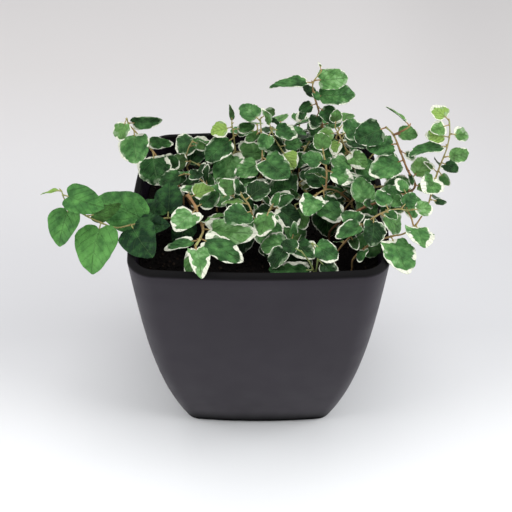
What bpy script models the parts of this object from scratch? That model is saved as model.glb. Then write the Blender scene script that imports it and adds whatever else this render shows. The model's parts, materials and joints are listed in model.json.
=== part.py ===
"""A creeping fig with cream-edged leaves, in its square dark plastic pot.

Sizes are in millimetres and are turned into metres where a mesh is made. The origin is the middle of
the pot's underside, +Z is up, and the photographed front looks toward -Y. Each leafy stem is one
solid: a thin tube with its leaves' stalks sunk into it.
"""

import math
import random

import bmesh
import bpy
import numpy as np
from mathutils import Matrix, Vector
from mathutils.bvhtree import BVHTree

MM = 0.001

# The pot: outer half-widths, heights and the curve of its wall.
POT_HEIGHT = 124.0
POT_TOP_HALF = 65.0
POT_BASE_HALF = 41.6
POT_LIP = 2.5
POT_LIP_ROUND = 2.2
POT_LIP_FLAT = 1.5
LIP_DEPTH = 6.0
POT_WALL = 2.5
POT_FLOOR = 3.0
FLOOR_ROUND = 2.0
POT_CURVE_STRAIGHT = 0.521
POT_CURVE_POWER = 3.154
POT_CORNER_TOP = 15.2
POT_CORNER_BASE = 8.4
POT_BULGE_TOP = 2.0
POT_BULGE_BASE = 1.6
POT_FOOT_ROUND = 2.2
OUTER_LEVELS = (8, 19, 36, 58, 82, 106)
INNER_LEVELS = (8, 28, 60, 98)
LEDGE_DROP = 1.0
SMALLEST_CORNER = 2.0
FOOT_STEPS = 2
LIP_STEPS = 3
CORNER_STEPS = 4
SIDE_STEPS = 3
DRAIN_RADIUS = 4.5
DRAIN_AT = 24.0
DRAIN_SIDES = 10
CUT_BEYOND = 2.0

# The soil, and the holes that the stems stand in.
GAP = 0.3
SOIL_LEVEL = 107.0
SOIL_DOME = 3.0
SOIL_DOME_RADIUS = 60.0
SOIL_RINGS = (1.0, 0.75, 0.45, 0.15)
SOIL_EDGE = 0.4
BROAD_LUMPS = 0.5
SMALL_LUMPS = 0.35
HOLE_RADIUS = 1.75
HOLE_DEPTH = 8.0
HOLE_SIDES = 6

# Stems and leaves.
STEM_BASE_RADIUS = 0.95
STEM_TIP_RADIUS = 0.6
STEM_SIDES = 4
SAMPLES = 4
TUBE_STRIDE = 2
STEM_SPACE = 2.7
STEM_ROUNDS = 60
LEAF_SPACE = 0.4
BLADE_HALF_THICKNESS = 0.33
STALK_HALF_WIDTH = 0.55
STALK_LENGTH = 2.4
LEAF_ARCH = 0.16
LEAF_FOLD = 0.16
LEAF_WAVE = 0.035
LOBED_FROM = 12.5
# Half of a blade's outline: how far along its length, how wide for its widest, which way it waves.
LEAF_LOBE = (-0.03, 0.64, 0.6)
LEAF_EDGE = ((0.27, 1.0, -1.0), (0.7, 0.8, 1.0))
LEAF_MIDDLE = 0.38
STALK_RUNS_IN = 0.05
LEAF_TURNS = (0, 12, -12, 25, -25, 40, -40)
LEAF_LIFTS = (0, -13, 13, -27, 27, -40)
LEAF_TRIES = sorted(((turn, lift) for turn in LEAF_TURNS for lift in LEAF_LIFTS),
                    key=lambda pair: abs(pair[0]) + abs(pair[1]))

FRONT = (0.0, -0.52, 0.85)
FRONT_LOW = (0.0, -0.25, 0.97)
LEFT = (-0.2, -0.5, 0.84)
RIGHT = (0.2, -0.5, 0.84)

# Rule for the shoots that fill the crown: where they stand and lean, how far they reach.
CROWN_SEED = 11
CROWN_SHOOTS = (
    # place of the root, the bearing it leans to in degrees from +X, and how high it rises
    (0, 50, 92, 17), (20, 50, 75, 20), (40, 46, 55, 24), (54, 28, 15, 22), (16, 36, 100, 24),
    (40, 22, 70, 28), (-22, 8, 175, 22), (-8, 2, 240, 24), (10, -8, 255, 24), (18, -30, 255, 16),
    (20, 20, 60, 27), (-24, 22, 150, 17),
)
CROWN_REACH = (11.0, 20.0)
CROWN_LEAVES = 4
CROWN_LEAF = (12.5, 15.5)


def shoot(node, path, leaves, facing=FRONT, joins=None):
    """A shoot: its node, points along it, its leaves and the way their faces look.

    A leaf is (place along the path in points, clock angle as seen from where it faces, blade length,
    droop in degrees, roll in degrees, width over length). A root is a place in the soil's plan. joins
    is the point of the node's first shoot that this one grows from.
    """
    return {"node": node, "path": path, "leaves": leaves, "facing": facing, "joins": joins}


def placed_shoots():
    """The shoots that are set out by hand."""
    return [
        shoot("stem_left_runner",
              [(-34, -8), (-34, -8, 113), (-43, -17, 123), (-54, -26, 127.5), (-63, -31, 128.8),
               (-70, -31, 127.5), (-79, -29, 130), (-85, -28, 133), (-91, -27, 137), (-94, -26, 141),
               (-95, -25, 145)],
              [(3.1, 152, 26, -22, 0, 0.72), (3.9, -56, 21.5, -25, 0, 0.8), (6.8, -8, 14, 0, 70, 0.7),
               (5.75, -100, 21, 0, 0, 0.95), (8.15, -104, 16.5, 0, 0, 0.9), (9.5, -20, 17.5, 0, 0, 0.78),
               (10.0, 178, 8, 0, 45, 0.6), (2.2, 80, 17, 0, 0, 0.85), (2.6, 118, 14, 10, 0, 0.85),
               (1.3, -100, 14, 20, 0, 0.85), (3.55, -12, 14, -30, 0, 0.7)], LEFT),
        shoot("stem_top_left",
              [(-40, 16), (-40, 16, 115), (-48, 19, 127), (-55, 21, 138), (-61, 21, 147),
               (-66, 20, 155), (-67, 20, 159)],
              [(5.9, -108, 9, 0, 0, 0.95), (4.5, -84, 14.5, 0, 0, 1.05), (5.2, -6, 14, -5, 50, 0.45),
               (3.7, -14, 12, 0, 50, 0.5), (3.0, -84, 14, 15, 0, 1.2), (2.4, 215, 8, 0, 60, 0.6),
               (2.6, -25, 9, 0, 20, 0.9)], LEFT),
        shoot("stem_back_left",
              [(-35, 30), (-35, 30, 114), (-39, 32, 122), (-38, 34, 130), (-35, 36, 136)],
              [(2.4, 95, 14, 0, 20, 0.75), (2.2, 178, 12.5, 0, 20, 0.8), (1.9, 55, 11.5, 0, 0, 0.85),
               (1.5, 200, 10, 0, 0, 0.9), (3.9, -30, 8, 0, 55, 0.6), (3.4, 20, 10, 10, 0, 0.9)], LEFT),
        shoot("stem_back_middle",
              [(-12, 24), (-12, 24, 115), (-14, 28, 124), (-12.5, 30, 132), (-13, 32, 140),
               (-14, 34, 147)],
              [(4.0, 222, 15.5, 0, 0, 0.8), (4.75, 192, 8.5, 0, 0, 1.0), (3.2, -108, 18.5, 0, 0, 0.72),
               (3.0, 3, 12.5, 0, 0, 0.95), (2.5, -8, 12.5, 0, 0, 0.95), (2.1, -55, 14, 0, 0, 0.9),
               (4.6, 20, 9, 0, 50, 0.6), (4.1, 0, 9, 0, 55, 0.6), (1.7, 205, 12, 0, 0, 0.85)]),
        shoot("stem_centre_back",
              [(31, 8), (31, 8, 113), (23, 14, 120), (17.5, 19, 126), (14.5, 22, 132),
               (12.5, 25, 136), (9, 28, 141), (6.5, 31, 146)],
              [(7.0, -14, 11, 0, 0, 0.75), (6.8, 215, 8.5, 0, 0, 0.9), (5.1, -62, 10, 0, 0, 1.0),
               (5.4, 0, 9, 0, 20, 0.8), (4.0, 14, 12, 0, 45, 0.65), (3.3, -106, 17.5, 0, 0, 0.8),
               (2.6, 170, 13, 0, 0, 0.85), (2.3, 60, 12, 0, 0, 0.85)]),
        shoot("stem_centre",
              [(2, 10), (2, 10, 115), (1, 14, 124), (2, 19, 132), (2, 25, 138), (1.5, 31, 144),
               (1, 36, 149)],
              [(5.8, 145, 11.5, 0, 0, 0.85), (6.0, 40, 7, 0, 0, 0.8), (3.4, -50, 17.5, 0, 0, 0.8),
               (4.4, 0, 10, 0, 0, 0.9), (2.4, -120, 14, 0, 0, 0.85), (3.0, 200, 12, 10, 0, 0.85)]),
        shoot("stem_tall",
              [(31, 30), (31, 30, 115), (34, 34, 127), (35, 36, 135), (34, 38, 144),
               (31.5, 40, 153), (29, 41, 161), (28.5, 42, 167), (32.5, 43, 173)],
              [(7.0, 180, 18.5, 0, 22, 0.42), (7.2, -4, 14.5, 0, 15, 0.72), (5.8, 6, 18, 0, 10, 0.62),
               (5.3, 200, 7, 0, 0, 0.9), (5.1, -38, 10.5, 0, 0, 0.8), (4.8, -112, 7.5, 0, 0, 0.85),
               (4.3, 180, 13, 0, 50, 0.6), (3.9, 186, 8, 0, 50, 0.6), (4.0, 2, 8, 0, 20, 0.8),
               (3.2, 120, 10, 0, 0, 0.9), (2.8, -20, 12.5, 0, 0, 0.85), (8.0, 100, 3.5, 0, 30, 0.6)]),
        shoot("stem_front_left_arch",
              [(-34, 0), (-34, 0, 115), (-36, -6, 127), (-35, -12, 133), (-31, -21, 132.5),
               (-29.5, -27, 130), (-27, -33, 128), (-28, -40, 128), (-30, -47, 128.5)],
              [(4.2, -122, 14, 0, 0, 0.88), (7.1, -26, 19, 4, 0, 0.62), (6.0, -12, 22, -8, 38, 0.5),
               (8.0, -80, 18, -4, 0, 0.5), (7.75, -108, 12.5, 6, 0, 0.5), (7.3, 218, 13.5, -12, 0, 0.42),
               (5.7, 22, 17, 0, -35, 0.6), (3.2, 30, 10.5, 0, 0, 1.0), (3.0, 75, 8, 0, 0, 0.9),
               (4.0, 36, 12, 0, 50, 0.6), (2.4, 160, 13, 0, 0, 0.85)], FRONT_LOW),
        shoot("stem_front_sprout",
              [(27, -53), (27, -53, 113), (25, -52, 121), (20, -50, 128)],
              [(1.6, 180, 17, -16, -20, 0.5), (1.25, 152, 18, 0, 0, 0.85), (2.9, 150, 8, 0, 0, 0.85)]),
        shoot("stem_front_sprout",
              [(27, -53, 114), (28, -51, 121), (28, -50, 126), (25, -48, 131)],
              [(3.0, -30, 11, 0, 0, 0.9), (1.4, -42, 10, 15, 0, 0.8)],
              FRONT, 1.1),
        shoot("stem_right_front",
              [(38, -36), (38, -36, 114), (44, -34, 123), (52, -31, 130), (60, -28, 134),
               (68, -26, 135), (74, -25, 133)],
              [(3.0, 206, 13, 0, 20, 0.65), (2.8, 145, 11.5, 0, 0, 0.85), (3.5, -100, 12.5, 0, 0, 0.85),
               (3.9, -15, 13.5, 0, 0, 0.85), (4.4, 110, 9, 0, 0, 0.85), (5.2, 60, 8, 0, 0, 0.85),
               (6.0, 10, 9, 0, 0, 0.8)], RIGHT),
        shoot("stem_far_right",
              [(46, -40), (46, -40, 114), (55, -39, 124), (64, -37, 126.5), (70, -35, 126.5),
               (76, -30, 127), (80, -25, 129.5), (83.5, -20, 132.5), (86, -13, 135), (89, -5, 140),
               (91.5, 0, 144), (94.5, 5, 149.5), (96, 9, 156), (95.5, 12, 162)],
              [(3.0, -78, 19, -14, 0, 0.8), (5.2, -92, 15, -14, 0, 0.88), (9.0, -128, 12.5, 0, 0, 0.9),
               (7.6, -10, 6, 0, 55, 0.6), (9.5, -70, 6.5, 0, 45, 0.7), (10.5, 15, 12, 0, 30, 0.62),
               (11.2, 192, 17, 0, 40, 0.6), (11.8, 176, 9, 0, 0, 0.9), (12.0, -20, 7.5, 0, 0, 1.0),
               (13.0, 135, 8.5, 0, 0, 1.0), (12.7, 202, 7.5, 0, 0, 1.0), (1.3, 5, 12.5, -15, 0, 0.95)],
              RIGHT),
        shoot("stem_far_right",
              [(76, -30, 127), (74.5, -26, 131), (72.5, -22, 134), (73, -19, 138)],
              [(1.4, 150, 6, 0, 0, 0.8), (2.1, 25, 6.5, 0, 0, 0.8), (3.0, 115, 7.5, 0, 0, 0.8),
               (2.7, 185, 7, 0, 0, 0.85)], RIGHT, 5.0),
        shoot("stem_right_brown",
              [(36, -18), (36, -18, 115), (49, -17, 127), (62, -14, 131.5), (73, -10, 132),
               (79, -5, 134.5), (75, 0, 141), (71.5, 6, 148), (68, 10, 155), (64, 13, 158)],
              [(8.9, 203, 13.5, 8, 0, 0.95), (8.0, 8, 9.5, -10, 0, 0.8), (7.4, 178, 12.5, 0, 0, 0.8),
               (6.5, 205, 15.5, 0, 0, 0.82), (7.0, -25, 6, 0, 0, 0.8), (5.5, 78, 12.5, 0, 0, 0.75),
               (4.2, -75, 10, 0, 0, 0.85), (4.1, 190, 14, -8, 0, 0.65), (4.4, 125, 8, 0, 0, 0.85),
               (3.1, -85, 11.5, 0, 0, 0.85), (2.3, 95, 14, 0, 0, 0.85), (2.1, -80, 14, -8, 0, 0.9),
               (1.7, 168, 13, 0, 0, 0.85)], RIGHT),
        shoot("stem_right_brown",
              [(68, 10, 155), (72, 9, 158), (75.5, 9, 160.5)],
              [(2.0, 132, 12.5, 0, 50, 0.5)], RIGHT, 8.0),
        shoot("stem_right_middle",
              [(43, -4), (43, -4, 115), (49, -2, 124), (57, 0, 129), (66, 1, 130), (73, -1, 128)],
              [(3.3, 172, 15, 0, 25, 0.65), (3.8, 12, 9, 0, 0, 0.85), (3.5, -22, 14, 0, 20, 0.65),
               (4.6, -40, 9, 0, 0, 0.85), (2.6, -85, 13, 0, 0, 0.85)], RIGHT),
        shoot("stem_centre_right",
              [(50, 14), (50, 14, 114), (52, 19, 123), (49.5, 22, 129.5), (47, 24, 135),
               (45, 26, 139), (42.5, 28.5, 143.5), (40, 31, 147)],
              [(6.0, 22, 11.5, 0, 0, 1.0), (6.9, 85, 6.5, 0, 0, 0.9), (6.3, 190, 8.5, 0, 0, 0.85),
               (5.7, 232, 7, 0, 0, 0.85), (4.4, -42, 10.5, 0, 0, 0.9), (4.1, 185, 10.5, 0, 35, 0.7),
               (3.4, 205, 11.5, 0, 0, 0.85), (3.0, -18, 12.5, 0, 0, 0.85)]),
        shoot("stem_centre_knot",
              [(50, 4), (50, 4, 113), (46, 1, 122), (40, -2, 129), (34, -5, 132),
               (27, -10, 131), (18, -15, 129.5)],
              [(4.2, -80, 20, 14, 0, 0.7), (4.7, -112, 16, -12, 0, 0.66), (4.0, 160, 13.5, 0, 0, 0.9),
               (6.0, -68, 10, 0, 0, 0.8), (2.6, 40, 12.5, 0, 0, 0.85)]),
        shoot("stem_centre_knot",
              [(34, -5, 132), (34.5, -2, 137), (34, 2, 142), (33, 6, 146)],
              [(2.0, 152, 10, 0, 0, 0.85), (3.0, 98, 10, 0, 0, 0.85), (1.6, -20, 11, 0, 0, 0.85)],
              FRONT, 4.0),
        shoot("stem_front_middle",
              [(-4, -20), (-4, -20, 115), (-4, -24, 124), (-3, -25, 130), (-5, -22, 135),
               (-9, -18, 138)],
              [(3.0, -50, 15.5, 0, 0, 1.0), (2.5, -30, 17, 20, 0, 0.85), (4.0, 172, 10, 0, 45, 0.6),
               (3.4, 205, 15, 0, 0, 0.75), (5.0, 140, 10, 0, 0, 0.85), (2.0, 230, 14, 20, 0, 0.85),
               (4.4, 40, 11.5, 0, 0, 0.85)]),
    ]


def crown_shoots():
    """The shoots that fill the crown and its back, each leaning outward from its root."""
    draw = random.Random(CROWN_SEED)
    shoots = []
    for number, (x, y, bearing, rise) in enumerate(CROWN_SHOOTS):
        reach = draw.uniform(*CROWN_REACH)
        away = Vector((math.cos(math.radians(bearing)), math.sin(math.radians(bearing)), 0))
        root = Vector((x, y, 0))
        steps = ((0, 0), (0.02, 0.08), (0.25, 0.6), (0.6, 0.92), (1.0, 1.0))
        path = [tuple(root + away * (reach * out) + Vector((0, 0, SOIL_LEVEL + SOIL_DOME + rise * up)))
                for out, up in steps]
        path[0] = (x, y)
        leaves = []
        side = draw.choice((-1, 1))
        for leaf in range(CROWN_LEAVES):
            place = 1.5 + 2.5 * leaf / (CROWN_LEAVES - 1)
            turn = side * draw.uniform(50, 75) if leaf < CROWN_LEAVES - 1 else draw.uniform(-20, 20)
            size = draw.uniform(*CROWN_LEAF) * (1 - 0.3 * leaf / CROWN_LEAVES)
            leaves.append((place, bearing + turn, size, draw.uniform(-10, 20), draw.uniform(-25, 25),
                           draw.uniform(0.78, 0.95)))
            side = -side
        facing = tuple(Vector((0, -0.22, 0.9)) + away * 0.3)
        shoots.append(shoot(f"stem_crown_{number + 1:02d}", path, leaves, facing))
    return shoots


def curve_samples(path):
    """A smooth curve through the points of a path, with SAMPLES steps from each point to the next.

    From a root in the soil it goes straight up to the path's second point.
    """
    root_depth = SOIL_LEVEL - HOLE_DEPTH + GAP
    rooted = len(path[0]) == 2
    points = [Vector((*path[0], root_depth)) if rooted else Vector(path[0])]
    points += [Vector(p) for p in path[1:]]
    ends = [points[0] * 2 - points[1]] + points + [points[-1] * 2 - points[-2]]
    samples = []
    for a, b, c, d in zip(ends, ends[1:], ends[2:], ends[3:]):
        for step in range(SAMPLES):
            t = step / SAMPLES
            samples.append(0.5 * (2 * b + (c - a) * t + (2 * a - 5 * b + 4 * c - d) * t * t
                                  + (3 * b - a - 3 * c + d) * t ** 3))
    curve = np.array([tuple(p) for p in samples + [points[-1]]])
    if rooted:
        curve[:SAMPLES + 1, :2] = path[0]
    return curve


def bend_clear(shoots):
    """Bends the curves of different nodes apart wherever they would cross; roots stay where they are."""
    curves = [curve_samples(s["path"]) for s in shoots]
    starts = np.cumsum([0] + [len(c) for c in curves])
    points = np.vstack(curves)
    names = sorted({s["node"] for s in shoots})
    owner = np.concatenate([np.full(len(c), names.index(s["node"])) for s, c in zip(shoots, curves)])
    first = {}
    for index, s in enumerate(shoots):
        first.setdefault(s["node"], index)
    loose = np.ones(len(points))
    for s, start in zip(shoots, starts):
        loose[start:start + SAMPLES + 1] = 0 if s["joins"] is None else 1
    apart = owner[:, None] != owner[None, :]
    for _ in range(STEM_ROUNDS):
        away = points[:, None, :] - points[None, :, :]
        reach = np.sqrt((away ** 2).sum(axis=2)) + 1e-9
        push = np.where(apart & (reach < STEM_SPACE), (STEM_SPACE - reach) / reach / 2, 0.0)
        move = (away * push[:, :, None]).sum(axis=1) * loose[:, None]
        for start, end in zip(starts, starts[1:]):
            part = move[start:end]
            part[1:-1] = 0.5 * part[1:-1] + 0.25 * (part[2:] + part[:-2])
        points = points + move * loose[:, None]
        for index, s in enumerate(shoots):
            if s["joins"] is not None:
                points[starts[index]] = points[starts[first[s["node"]]] + round(s["joins"] * SAMPLES)]
    return [points[a:b] for a, b in zip(starts, starts[1:])]


def point_on(curve, place):
    """The point at a place along a curve, in points of its path."""
    at = min(place * SAMPLES, len(curve) - 1)
    low = min(int(at), len(curve) - 2)
    return Vector(curve[low]).lerp(Vector(curve[low + 1]), at - low)


def leaf_axes(facing, clock, droop, roll):
    """The blade's own axes: along its midrib, across it, and out of its upper face."""
    face = Vector(facing).normalized()
    right = (Vector((1, 0, 0)) - face * face.x).normalized()
    up = face.cross(right)
    flat = right * math.cos(math.radians(clock)) + up * math.sin(math.radians(clock))
    along = flat * math.cos(math.radians(droop)) - face * math.sin(math.radians(droop))
    out = (face - along * face.dot(along)).normalized()
    out = Matrix.Rotation(math.radians(roll), 3, along) @ out
    return along, out.cross(along), out


def leaf_solid(root, axes, length, width, extra=0.0):
    """Vertices and faces of one leaf: a folded, arched, waved blade and its stalk, sunk at root.

    extra makes it that much larger all round, for testing the room that it has.
    """
    half = length * width / 2
    edge = ((LEAF_LOBE,) if length >= LOBED_FROM else ()) + LEAF_EDGE
    outline = [(0.0, STALK_HALF_WIDTH, 0.0),
               (STALK_LENGTH + STALK_RUNS_IN * length, STALK_HALF_WIDTH, 0.0)]
    outline += [(STALK_LENGTH + u * length, half * v, w) for u, v, w in edge]
    outline.append((STALK_LENGTH + length, 0.0, 0.0))
    outline += [(x, -y, -w) for x, y, w in reversed(outline[:-1])]
    outline.append((STALK_LENGTH + LEAF_MIDDLE * length, 0.0, 0.0))
    along, across, out = axes
    top, bottom = [], []
    for x, y, wave in outline:
        reach = max(0.0, (x - STALK_LENGTH) / length)
        rise = LEAF_FOLD * abs(y) - LEAF_ARCH * length * reach ** 2 + LEAF_WAVE * length * wave
        wide = y + math.copysign(extra, y) if y else 0.0
        far = x + (extra if reach >= 1 else 0.0)
        middle = root + along * far + across * wide + out * rise
        top.append(middle + out * (BLADE_HALF_THICKNESS + extra))
        bottom.append(middle - out * (BLADE_HALF_THICKNESS + extra))
    count = len(outline) - 1
    centre = count
    faces = [(0, 1, count - 2), (0, count - 2, count - 1), (1, centre, count - 2)]
    faces += [(i, i + 1, centre) for i in range(1, count - 2)]
    lower = [tuple(i + count + 1 for i in face) for face in faces]
    upper = [tuple(reversed(face)) for face in faces]
    sides = []
    for i in range(count):
        j = (i + 1) % count
        sides += [(i, j, j + count + 1), (i, j + count + 1, i + count + 1)]
    return top + bottom, upper + lower + sides


def tube_solid(curve):
    """Vertices and faces of a stem: a closed tapering tube along its curve."""
    picked = list(range(0, len(curve) - 1, TUBE_STRIDE)) + [len(curve) - 1]
    points = [Vector(curve[i]) for i in picked]
    vertices, faces = [], []
    side = Vector((1, 0, 0))
    for index, point in enumerate(points):
        ahead = points[min(index + 1, len(points) - 1)] - points[max(index - 1, 0)]
        ahead.normalize()
        side = (side - ahead * side.dot(ahead)).normalized()
        other = ahead.cross(side)
        radius = STEM_BASE_RADIUS + (STEM_TIP_RADIUS - STEM_BASE_RADIUS) * index / (len(points) - 1)
        for corner in range(STEM_SIDES):
            angle = 2 * math.pi * corner / STEM_SIDES
            vertices.append(point + (side * math.cos(angle) + other * math.sin(angle)) * radius)
    for ring in range(len(points) - 1):
        for corner in range(STEM_SIDES):
            a = ring * STEM_SIDES + corner
            b = ring * STEM_SIDES + (corner + 1) % STEM_SIDES
            faces.append((a, b, b + STEM_SIDES, a + STEM_SIDES))
    faces.append(tuple(reversed(range(STEM_SIDES))))
    faces.append(tuple(range(len(vertices) - STEM_SIDES, len(vertices))))
    return vertices, faces


class Room:
    """What is already in place, and whether a new leaf clears it."""

    def __init__(self):
        self.held = []

    def add(self, solid, owner=""):
        vertices, faces = solid
        centre = sum(vertices, Vector()) / len(vertices)
        radius = max((v - centre).length for v in vertices)
        self.held.append((centre, radius, BVHTree.FromPolygons(vertices, faces), owner))

    def clear(self, solid, owner=None):
        vertices, faces = solid
        centre = sum(vertices, Vector()) / len(vertices)
        radius = max((v - centre).length for v in vertices)
        tree = BVHTree.FromPolygons(vertices, faces)
        for middle, reach, other, holder in self.held:
            if holder != owner and (centre - middle).length < radius + reach and tree.overlap(other):
                return False
        return True


def blade_only(solid):
    """The blade of a leaf solid without the part of its stalk that is sunk in the stem."""
    vertices, faces = solid
    half = len(vertices) // 2
    sunk = {0, half - 2, half, len(vertices) - 2}
    return vertices, [face for face in faces if not sunk & set(face)]


def place_leaves(shoots, curves, room):
    """Every leaf that finds room: (index of its shoot, root, axes, length, width)."""
    leaves = []
    for index, (s, curve) in enumerate(zip(shoots, curves)):
        tube = "tube " + s["node"]
        for place, clock, length, droop, roll, width in s["leaves"]:
            root = point_on(curve, place)
            for turn, lift in LEAF_TRIES:
                axes = leaf_axes(s["facing"], clock + turn, droop + lift, roll)
                solid = leaf_solid(root, axes, length, width, LEAF_SPACE)
                if room.clear(solid, tube) and room.clear(blade_only(solid)):
                    leaves.append((index, root, axes, length, width))
                    room.add(leaf_solid(root, axes, length, width))
                    break
    return leaves


def make_object(name, solid, material):
    """A mesh object from vertices in millimetres and faces, its normals turned outward."""
    vertices, faces = solid
    mesh = bpy.data.meshes.new(name)
    mesh.from_pydata([tuple(Vector(v) * MM) for v in vertices], [], faces)
    shape = bmesh.new()
    shape.from_mesh(mesh)
    bmesh.ops.recalc_face_normals(shape, faces=shape.faces)
    shape.to_mesh(mesh)
    shape.free()
    mesh.materials.append(material)
    made = bpy.data.objects.new(name, mesh)
    bpy.context.scene.collection.objects.link(made)
    return made


def make_material(name, colour, roughness):
    """A plain coloured material."""
    material = bpy.data.materials.new(name)
    material.use_nodes = True
    shader = material.node_tree.nodes["Principled BSDF"]
    shader.inputs["Base Color"].default_value = (*colour, 1)
    shader.inputs["Roughness"].default_value = roughness
    shader.inputs["Metallic"].default_value = 0
    return material


def joined(base, others, operation):
    """Unites base with the others, or cuts them from it, in one Boolean, and removes the others."""
    group = bpy.data.collections.new(base.name + "_pieces")
    bpy.context.scene.collection.children.link(group)
    for other in others:
        bpy.context.scene.collection.objects.unlink(other)
        group.objects.link(other)
    boolean = base.modifiers.new("Join", "BOOLEAN")
    boolean.operation = operation
    boolean.operand_type = "COLLECTION"
    boolean.collection = group
    boolean.solver = "EXACT"
    graph = bpy.context.evaluated_depsgraph_get()
    mesh = bpy.data.meshes.new_from_object(base.evaluated_get(graph))
    base.modifiers.remove(boolean)
    base.data = mesh
    for other in others:
        bpy.data.objects.remove(other)
    bpy.data.collections.remove(group)
    return base


def square_ring(half, corner, bulge, height):
    """Points round a square with round corners and softly bowed sides, anticlockwise from the +X side."""
    ring = []
    straight = half - bulge - corner
    for quarter in range(4):
        turn = Matrix.Rotation(quarter * math.pi / 2, 2)
        for step in range(SIDE_STEPS + 1):
            t = -1 + 2 * step / SIDE_STEPS
            ring.append(turn @ Vector((half - bulge * t * t, straight * t)))
        for step in range(1, CORNER_STEPS):
            angle = math.pi / 2 * step / CORNER_STEPS
            ring.append(turn @ Vector((straight + corner * math.cos(angle),
                                       straight + corner * math.sin(angle))))
    return [Vector((p.x, p.y, height)) for p in ring]


def wall_section(height):
    """Half-width, corner radius and bow of the wall's outer face at a height."""
    down = min(1.0, max(0.0, 1 - height / (POT_HEIGHT - POT_LIP)))
    curve = POT_CURVE_STRAIGHT * down + (1 - POT_CURVE_STRAIGHT) * down ** POT_CURVE_POWER
    return (POT_TOP_HALF - (POT_TOP_HALF - POT_BASE_HALF) * curve,
            POT_CORNER_TOP + (POT_CORNER_BASE - POT_CORNER_TOP) * down,
            POT_BULGE_TOP + (POT_BULGE_BASE - POT_BULGE_TOP) * down)


def inset_ring(height, inset):
    """The wall's outline at a height, moved inward."""
    half, corner, bulge = wall_section(height)
    return square_ring(half - inset, max(SMALLEST_CORNER, corner - inset), bulge, height)


def ringed_solid(rings):
    """A closed solid through a stack of rings, capped at both ends."""
    around = len(rings[0])
    vertices = [point for ring in rings for point in ring]
    faces = []
    for level in range(len(rings) - 1):
        for i in range(around):
            a = level * around + i
            b = level * around + (i + 1) % around
            faces.append((a, b, b + around, a + around))
    faces.append(tuple(reversed(range(around))))
    faces.append(tuple(range(len(vertices) - around, len(vertices))))
    return vertices, faces


def pot_rings():
    """The pot's rings, from its underside up the outside, over the lip and down the inside."""
    rings = []
    for step in range(FOOT_STEPS + 1):
        angle = math.pi / 2 * step / FOOT_STEPS
        height = POT_FOOT_ROUND * (1 - math.cos(angle))
        rings.append(inset_ring(height, POT_FOOT_ROUND * (1 - math.sin(angle))))
    for height in OUTER_LEVELS:
        rings.append(inset_ring(height, 0))
    for step in range(LIP_STEPS + 1):
        angle = math.pi / 2 * step / LIP_STEPS
        height = POT_HEIGHT - POT_LIP * (1 - math.sin(angle))
        rings.append(inset_ring(height, POT_LIP_ROUND * (1 - math.cos(angle))))
    lip_inside = POT_LIP_ROUND + POT_LIP_FLAT
    rings.append(inset_ring(POT_HEIGHT, lip_inside))
    rings.append(inset_ring(POT_HEIGHT - LIP_DEPTH, lip_inside))
    rings.append(inset_ring(POT_HEIGHT - LIP_DEPTH - LEDGE_DROP, POT_WALL))
    for height in reversed(INNER_LEVELS):
        rings.append(inset_ring(height, POT_WALL))
    rings.append(inset_ring(POT_FLOOR, POT_WALL + FLOOR_ROUND))
    return rings


def column(x, y, low, high, radius, sides):
    """An upright prism."""
    rings = [[Vector((x + radius * math.cos(2 * math.pi * i / sides),
                      y + radius * math.sin(2 * math.pi * i / sides), z)) for i in range(sides)]
             for z in (low, high)]
    return ringed_solid(rings)


def make_pot():
    """The one-piece plastic pot, with a drain hole near each corner of its floor."""
    plastic = make_material("pot plastic", (0.022, 0.021, 0.024), 0.42)
    pot = make_object("pot", ringed_solid(pot_rings()), plastic)
    drains = [make_object(f"drain_{x}_{y}", column(x, y, -CUT_BEYOND, POT_FLOOR + CUT_BEYOND,
                                                   DRAIN_RADIUS, DRAIN_SIDES), plastic)
              for x in (-DRAIN_AT, DRAIN_AT) for y in (-DRAIN_AT, DRAIN_AT)]
    return joined(pot, drains, "DIFFERENCE")


def soil_height(x, y):
    """Height of the soil's surface: a low dome with a few soft lumps."""
    fall = (x * x + y * y) / SOIL_DOME_RADIUS ** 2
    lumps = BROAD_LUMPS * math.sin(x * 0.13 + 1) * math.cos(y * 0.11)
    lumps += SMALL_LUMPS * math.sin(x * 0.31 - y * 0.23)
    return SOIL_LEVEL + SOIL_DOME * max(0.0, 1 - fall) + lumps


def make_soil(roots):
    """The soil that fills the pot, with an upright blind hole for each root."""
    earth = make_material("soil", (0.03, 0.022, 0.017), 0.95)
    rings = []
    rings.append(inset_ring(POT_FLOOR + GAP, POT_WALL + FLOOR_ROUND + GAP))
    rings += [inset_ring(height, POT_WALL + GAP) for height in INNER_LEVELS]
    edge = inset_ring(SOIL_LEVEL, POT_WALL + GAP + SOIL_EDGE)
    for scale in SOIL_RINGS:
        ring = []
        for point in edge:
            x, y = point.x * scale, point.y * scale
            ring.append(Vector((x, y, soil_height(x, y))))
        rings.append(ring)
    soil = make_object("soil", ringed_solid(rings), earth)
    holes = [make_object(f"hole_{i}", column(x, y, SOIL_LEVEL - HOLE_DEPTH,
                                             SOIL_LEVEL + SOIL_DOME + CUT_BEYOND,
                                             HOLE_RADIUS, HOLE_SIDES), earth)
             for i, (x, y) in enumerate(roots)]
    return joined(soil, holes, "DIFFERENCE")


def make_stems(shoots, curves, leaves):
    """One solid for each node: its tube or tubes united with its leaves."""
    plain = make_material("green leaf", (0.06, 0.20, 0.06), 0.5)
    edged = make_material("cream-edged leaf", (0.12, 0.28, 0.11), 0.5)
    nodes = {}
    for index, s in enumerate(shoots):
        material = plain if s["node"] == "stem_left_runner" else edged
        tube = make_object("tube", tube_solid(curves[index]), material)
        nodes.setdefault(s["node"], []).append(tube)
        for owner, root, axes, length, width in leaves:
            if owner == index:
                leaf = make_object("leaf", leaf_solid(root, axes, length, width), material)
                nodes[s["node"]].append(leaf)
    for name, pieces in nodes.items():
        pieces[0].name = name
        joined(pieces[0], pieces[1:], "UNION")


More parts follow.
